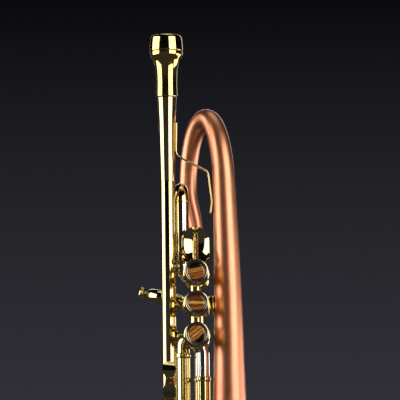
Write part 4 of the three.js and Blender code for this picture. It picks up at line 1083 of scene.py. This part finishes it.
def ribbonPiece(name, line, thickness, along, low, high, flat="yz"):
    # a strip of sheet: the centre line is extruded step by step, pulled wide, and thickened both ways
    def spot(u, v, w):
        return at(w, u, v) if flat == "yz" else at(u, w, v)

    startPoint(spot(*line[0], low))
    for here, there in zip(line, line[1:]):
        extrudeBy(spot(*there, low) - spot(*here, low))
    bpy.ops.mesh.select_all(action="SELECT")
    extrudeBy(along * (high - low) * mm)
    bpy.ops.mesh.select_all(action="SELECT")
    bpy.ops.mesh.normals_make_consistent(inside=False)
    bpy.ops.object.mode_set(mode="OBJECT")
    piece = bpy.context.object
    piece.name = name
    applyModifier(piece, "SOLIDIFY", thickness=thickness * mm, offset=0, use_even_offset=True)
    return piece


def smoothLine(points, per=6):
    # a curved centre line through given points
    points = [Vector(p) for p in points]
    result = []
    for i in range(len(points) - 1):
        a = points[max(i - 1, 0)]
        b, c = points[i], points[i + 1]
        d = points[min(i + 2, len(points) - 1)]
        for s in range(per):
            t = s / per
            result.append(0.5 * (2 * b + (c - a) * t + (2 * a - 5 * b + 4 * c - d) * t ** 2
                                 + (3 * b - a - 3 * c + d) * t ** 3))
    result.append(points[-1])
    return [(p.x, p.y) for p in result]


def outlineCutter(outline, high, low=-60):
    # a prism along Y from an outline in x and z, used to trim sheet work
    startPoint(at(outline[0][0], low, outline[0][1]))
    for here, there in zip(outline, outline[1:]):
        extrudeBy(at(there[0], low, there[1]) - at(here[0], low, here[1]))
    bpy.ops.mesh.select_all(action="SELECT")
    bpy.ops.mesh.edge_face_add()
    bpy.ops.mesh.select_all(action="SELECT")
    extrudeBy(Vector((0, (high - low) * mm, 0)))
    return closeUp()


def trimmedTo(sheet, outline, high):
    cutter = outlineCutter(outline, high)
    applyModifier(sheet, "BOOLEAN", operation="INTERSECT", solver="EXACT", object=cutter)
    bpy.data.objects.remove(cutter)


def arc(centre, radius, start, end, steps=14):
    return [(centre[0] + radius * math.cos(math.radians(start + (end - start) * i / steps)),
             centre[1] + radius * math.sin(math.radians(start + (end - start) * i / steps)))
            for i in range(steps + 1)]


def makeSaddle():
    low, high = boxOf("thumb_saddle")
    saddle = {"floor": -1.6, "sheet": 1.5, "wide": 19.4, "tall": 24, "deepest": 15, "slot": 2.6,
              "slotTop": 9, "slotFoot": 5, "corner": 4, "back": 20, "margin": 3,
              "footRight": -8.2, "footBack": 6.6, "footTop": 13, "footEnd": 22, "tubeZ": 340}
    left, right, top, bottom = low.x, high.x, high.z, low.z
    centre = (left + right) / 2
    half = (right - left) / 2
    deepest = top - saddle["deepest"]
    # a flat grid is pressed into a dish that is hollow towards the thumb
    deselectAll()
    bpy.ops.mesh.primitive_grid_add(x_subdivisions=30, y_subdivisions=38, size=1, location=(0, 0, 0))
    sheet = bpy.context.object
    for vertex in sheet.data.vertices:
        u = vertex.co.x * (2 * half + saddle["margin"])
        w = vertex.co.y * (top - bottom + saddle["margin"]) + (top + bottom) / 2 - deepest
        flatness = max(0.03, 1 - (u / saddle["wide"]) ** 2 - (w / saddle["tall"]) ** 2)
        y = saddle["floor"] - saddle["wide"] * (1 - math.sqrt(flatness))
        vertex.co = at(centre + u, y, deepest + w)
    applyModifier(sheet, "SOLIDIFY", thickness=saddle["sheet"] * mm, offset=0, use_even_offset=True)
    edge = saddle["corner"]
    outline = [*arc((centre, top - half), half, 0, 180, 32),
               *arc((left + edge, bottom + edge), edge, 180, 270, 8),
               *arc((right - edge, bottom + edge), edge, 270, 360, 8)]
    trimmedTo(sheet, outline, saddle["back"])
    slot = outlineCutter([*arc((centre, top - saddle["slotTop"]), saddle["slot"], 0, 180),
                          *arc((centre, bottom + saddle["slotFoot"]), saddle["slot"], 180, 360)],
                         saddle["back"])
    boredOut(sheet, [slot])
    softened(sheet, 0.4, 3, 50)
    foot = roundedBlock("saddleFoot", (left + 0.3, saddle["floor"] - 5.4, top - saddle["footEnd"]),
                        (saddle["footRight"], saddle["footBack"], top - saddle["footTop"]), 0.8)
    bpy.ops.mesh.primitive_uv_sphere_add(
        segments=48, ring_count=32, radius=mm, location=at(centre, saddle["floor"] - saddle["wide"], deepest))
    egg = bpy.context.object
    egg.scale = (saddle["wide"], saddle["wide"], saddle["tall"])
    leg = roller((first["x"], first["front"], saddle["tubeZ"]), up, tubing["outer"] - 0.05, 80)
    boredOut(foot, [egg, leg])
    settle(joined("thumbSaddle", [sheet, foot]), "first_slide", brass, ["thumb_saddle"],
           smooth=40)


def makeHook():
    hook = {"foot": 11.5, "waist": 6.6, "tip": 12.5, "sheet": 1.7, "reach": 15, "bottom": 197,
            "height": 32, "floor": -6.9, "sideways": 8}
    x, bottom, floor, reach = lead["x"], hook["bottom"], hook["floor"], hook["reach"]
    top = bottom + hook["height"]
    line = smoothLine([
        (floor + 0.1, bottom), (floor, bottom + 11), (floor - 3, bottom + 15), (floor - 8, bottom + 16.5),
        (floor - reach + 2, bottom + 18.5), (floor - reach, bottom + 23), (floor - reach + 1, bottom + 28),
        (floor - reach + 4.5, top)])
    sheet = ribbonPiece("pinkyHook", line, hook["sheet"], side, x - hook["sideways"], x + hook["sideways"])
    waistZ = bottom + 18
    foot, waist, tip = x + hook["foot"] / 2, x + hook["waist"] / 2, x + hook["tip"] / 2
    rightEdge = smoothLine([
        (foot, bottom - 2), (foot, bottom + 8), (foot - 1.4, bottom + 11), (waist, bottom + 15.5),
        (waist, waistZ), (tip - 1, waistZ + 4), (tip, waistZ + 8), (tip - 1.2, top - 1.5),
        (x + 1.5, top + 1.6), (x, top + 1.8)])
    leftEdge = [(2 * x - u, v) for u, v in reversed(rightEdge)]
    trimmedTo(sheet, rightEdge + leftEdge[1:], 0)
    softened(sheet, 0.45, 3, 50)
    plate = roundedBlock("hookFoot", (x - hook["foot"] / 2, floor - 0.5, bottom),
                         (foot, -2, bottom + 11), 0.5)
    boredOut(plate, [roller((x, 0, bottom), up, lead["outer"] + 0.02, 60)])
    fixedBrass(joined("pinkyHook", [sheet, plate]), "pinky_hook", smooth=40)


def makeBraces():
    low, high = boxOf("z_brace")
    strip = {"width": 1.7, "deep": 5.2, "straight": 26, "edge": 0.82}
    top, shoulder = high.z - 0.4, bell["shoulderZ"]
    leadSide = low.x + strip["width"] / 2 - 0.3
    taper = (lead["waistRadius"] - lead["outer"]) / (lead["waist"] - lead["receiverFoot"])
    topSide = leadSide + strip["straight"] * taper
    bellSide = bell["x"] - bell["lean"] - bell["shoulderRadius"] - 0.9
    line = [(topSide, top), (leadSide, top - strip["straight"]), (leadSide + 0.4, top - 29.4),
            (leadSide + 2.2, top - 31.6), (bellSide - 4.8, shoulder + 11.2), (bellSide - 3.6, shoulder + 9.6),
            (bellSide - 2.8, shoulder + 6.4), (bellSide - 0.1, shoulder - 17),
            (bellSide - 0.1, shoulder - 19.5), (bellSide - 1.4, shoulder - 28.6)]
    halfDeep = strip["deep"] / 2
    brace = ribbonPiece("zBrace", line, strip["width"], inward, -halfDeep, halfDeep, flat="xz")
    softened(brace, strip["edge"], 5, 40)
    fixedBrass(brace, "z_brace", smooth=40)

    flange = {"deep": 8, "startReach": 5, "endReach": 3.5, "thick": 1.6, "edge": 0.6}

    def tubeBrace(name, node, start, end, z, tall, post, cutters):
        # two flanges that hug round pieces, with a web or a turned post between them
        half = (end - start) / 2
        middlePoint = Vector(((start + end) / 2, 0, z))
        if post:
            neck = turnedPiece("neck", [
                (0, -half), (post + 1.6, -half), (post + 1.2, -half + 0.8), (post, -half + 1.8),
                (post, half - 1.8), (post + 1.2, half - 0.8), (post + 1.6, half), (0, half)],
                middlePoint, side, 0.5, steps=40)
        else:
            neck = roundedBlock("web", (start - 0.5, -1.5, z - tall / 2), (end + 0.5, 1.5, z + tall / 2), 0.5)
        deep = flange["deep"] / 2
        plates = [roundedBlock("flange", (near, -deep, z - tall / 2), (far, deep, z + tall / 2),
                               flange["edge"])
                  for near, far in ((start - flange["startReach"], start + flange["thick"]),
                                    (end - flange["thick"], end + flange["endReach"]))]
        for plate in plates:
            boredOut(plate, [roller(c, axis, radius, 60) for c, axis, radius in cutters])
        fixedBrass(joined(name, [neck, *plates]), node)

    casing = 10.0
    z = valveZ[1]
    tubeBrace("bellBrace", "bell_brace", casing, bell["x"] - bellRadius(z), z, 17.6, 0, [
        ((0, 0, z), inward, casing), ((bell["x"] - 0.4, 0, z), up, 13.1)])
    z = valveZ[2]
    tubeBrace("leadpipeBrace", "leadpipe_brace", lead["x"] + lead["outer"], -casing, z, 10, 2.2, [
        ((0, 0, z), inward, casing), ((lead["x"], 0, z), up, lead["outer"])])


makeSaddle()
makeHook()
makeBraces()
print("braces, hook and saddle ready")


for n in (1, 2, 3):
    painted(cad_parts[f"piston_{n}"], nickel)
    painted(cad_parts[f"valve_guide_{n}"], brass)
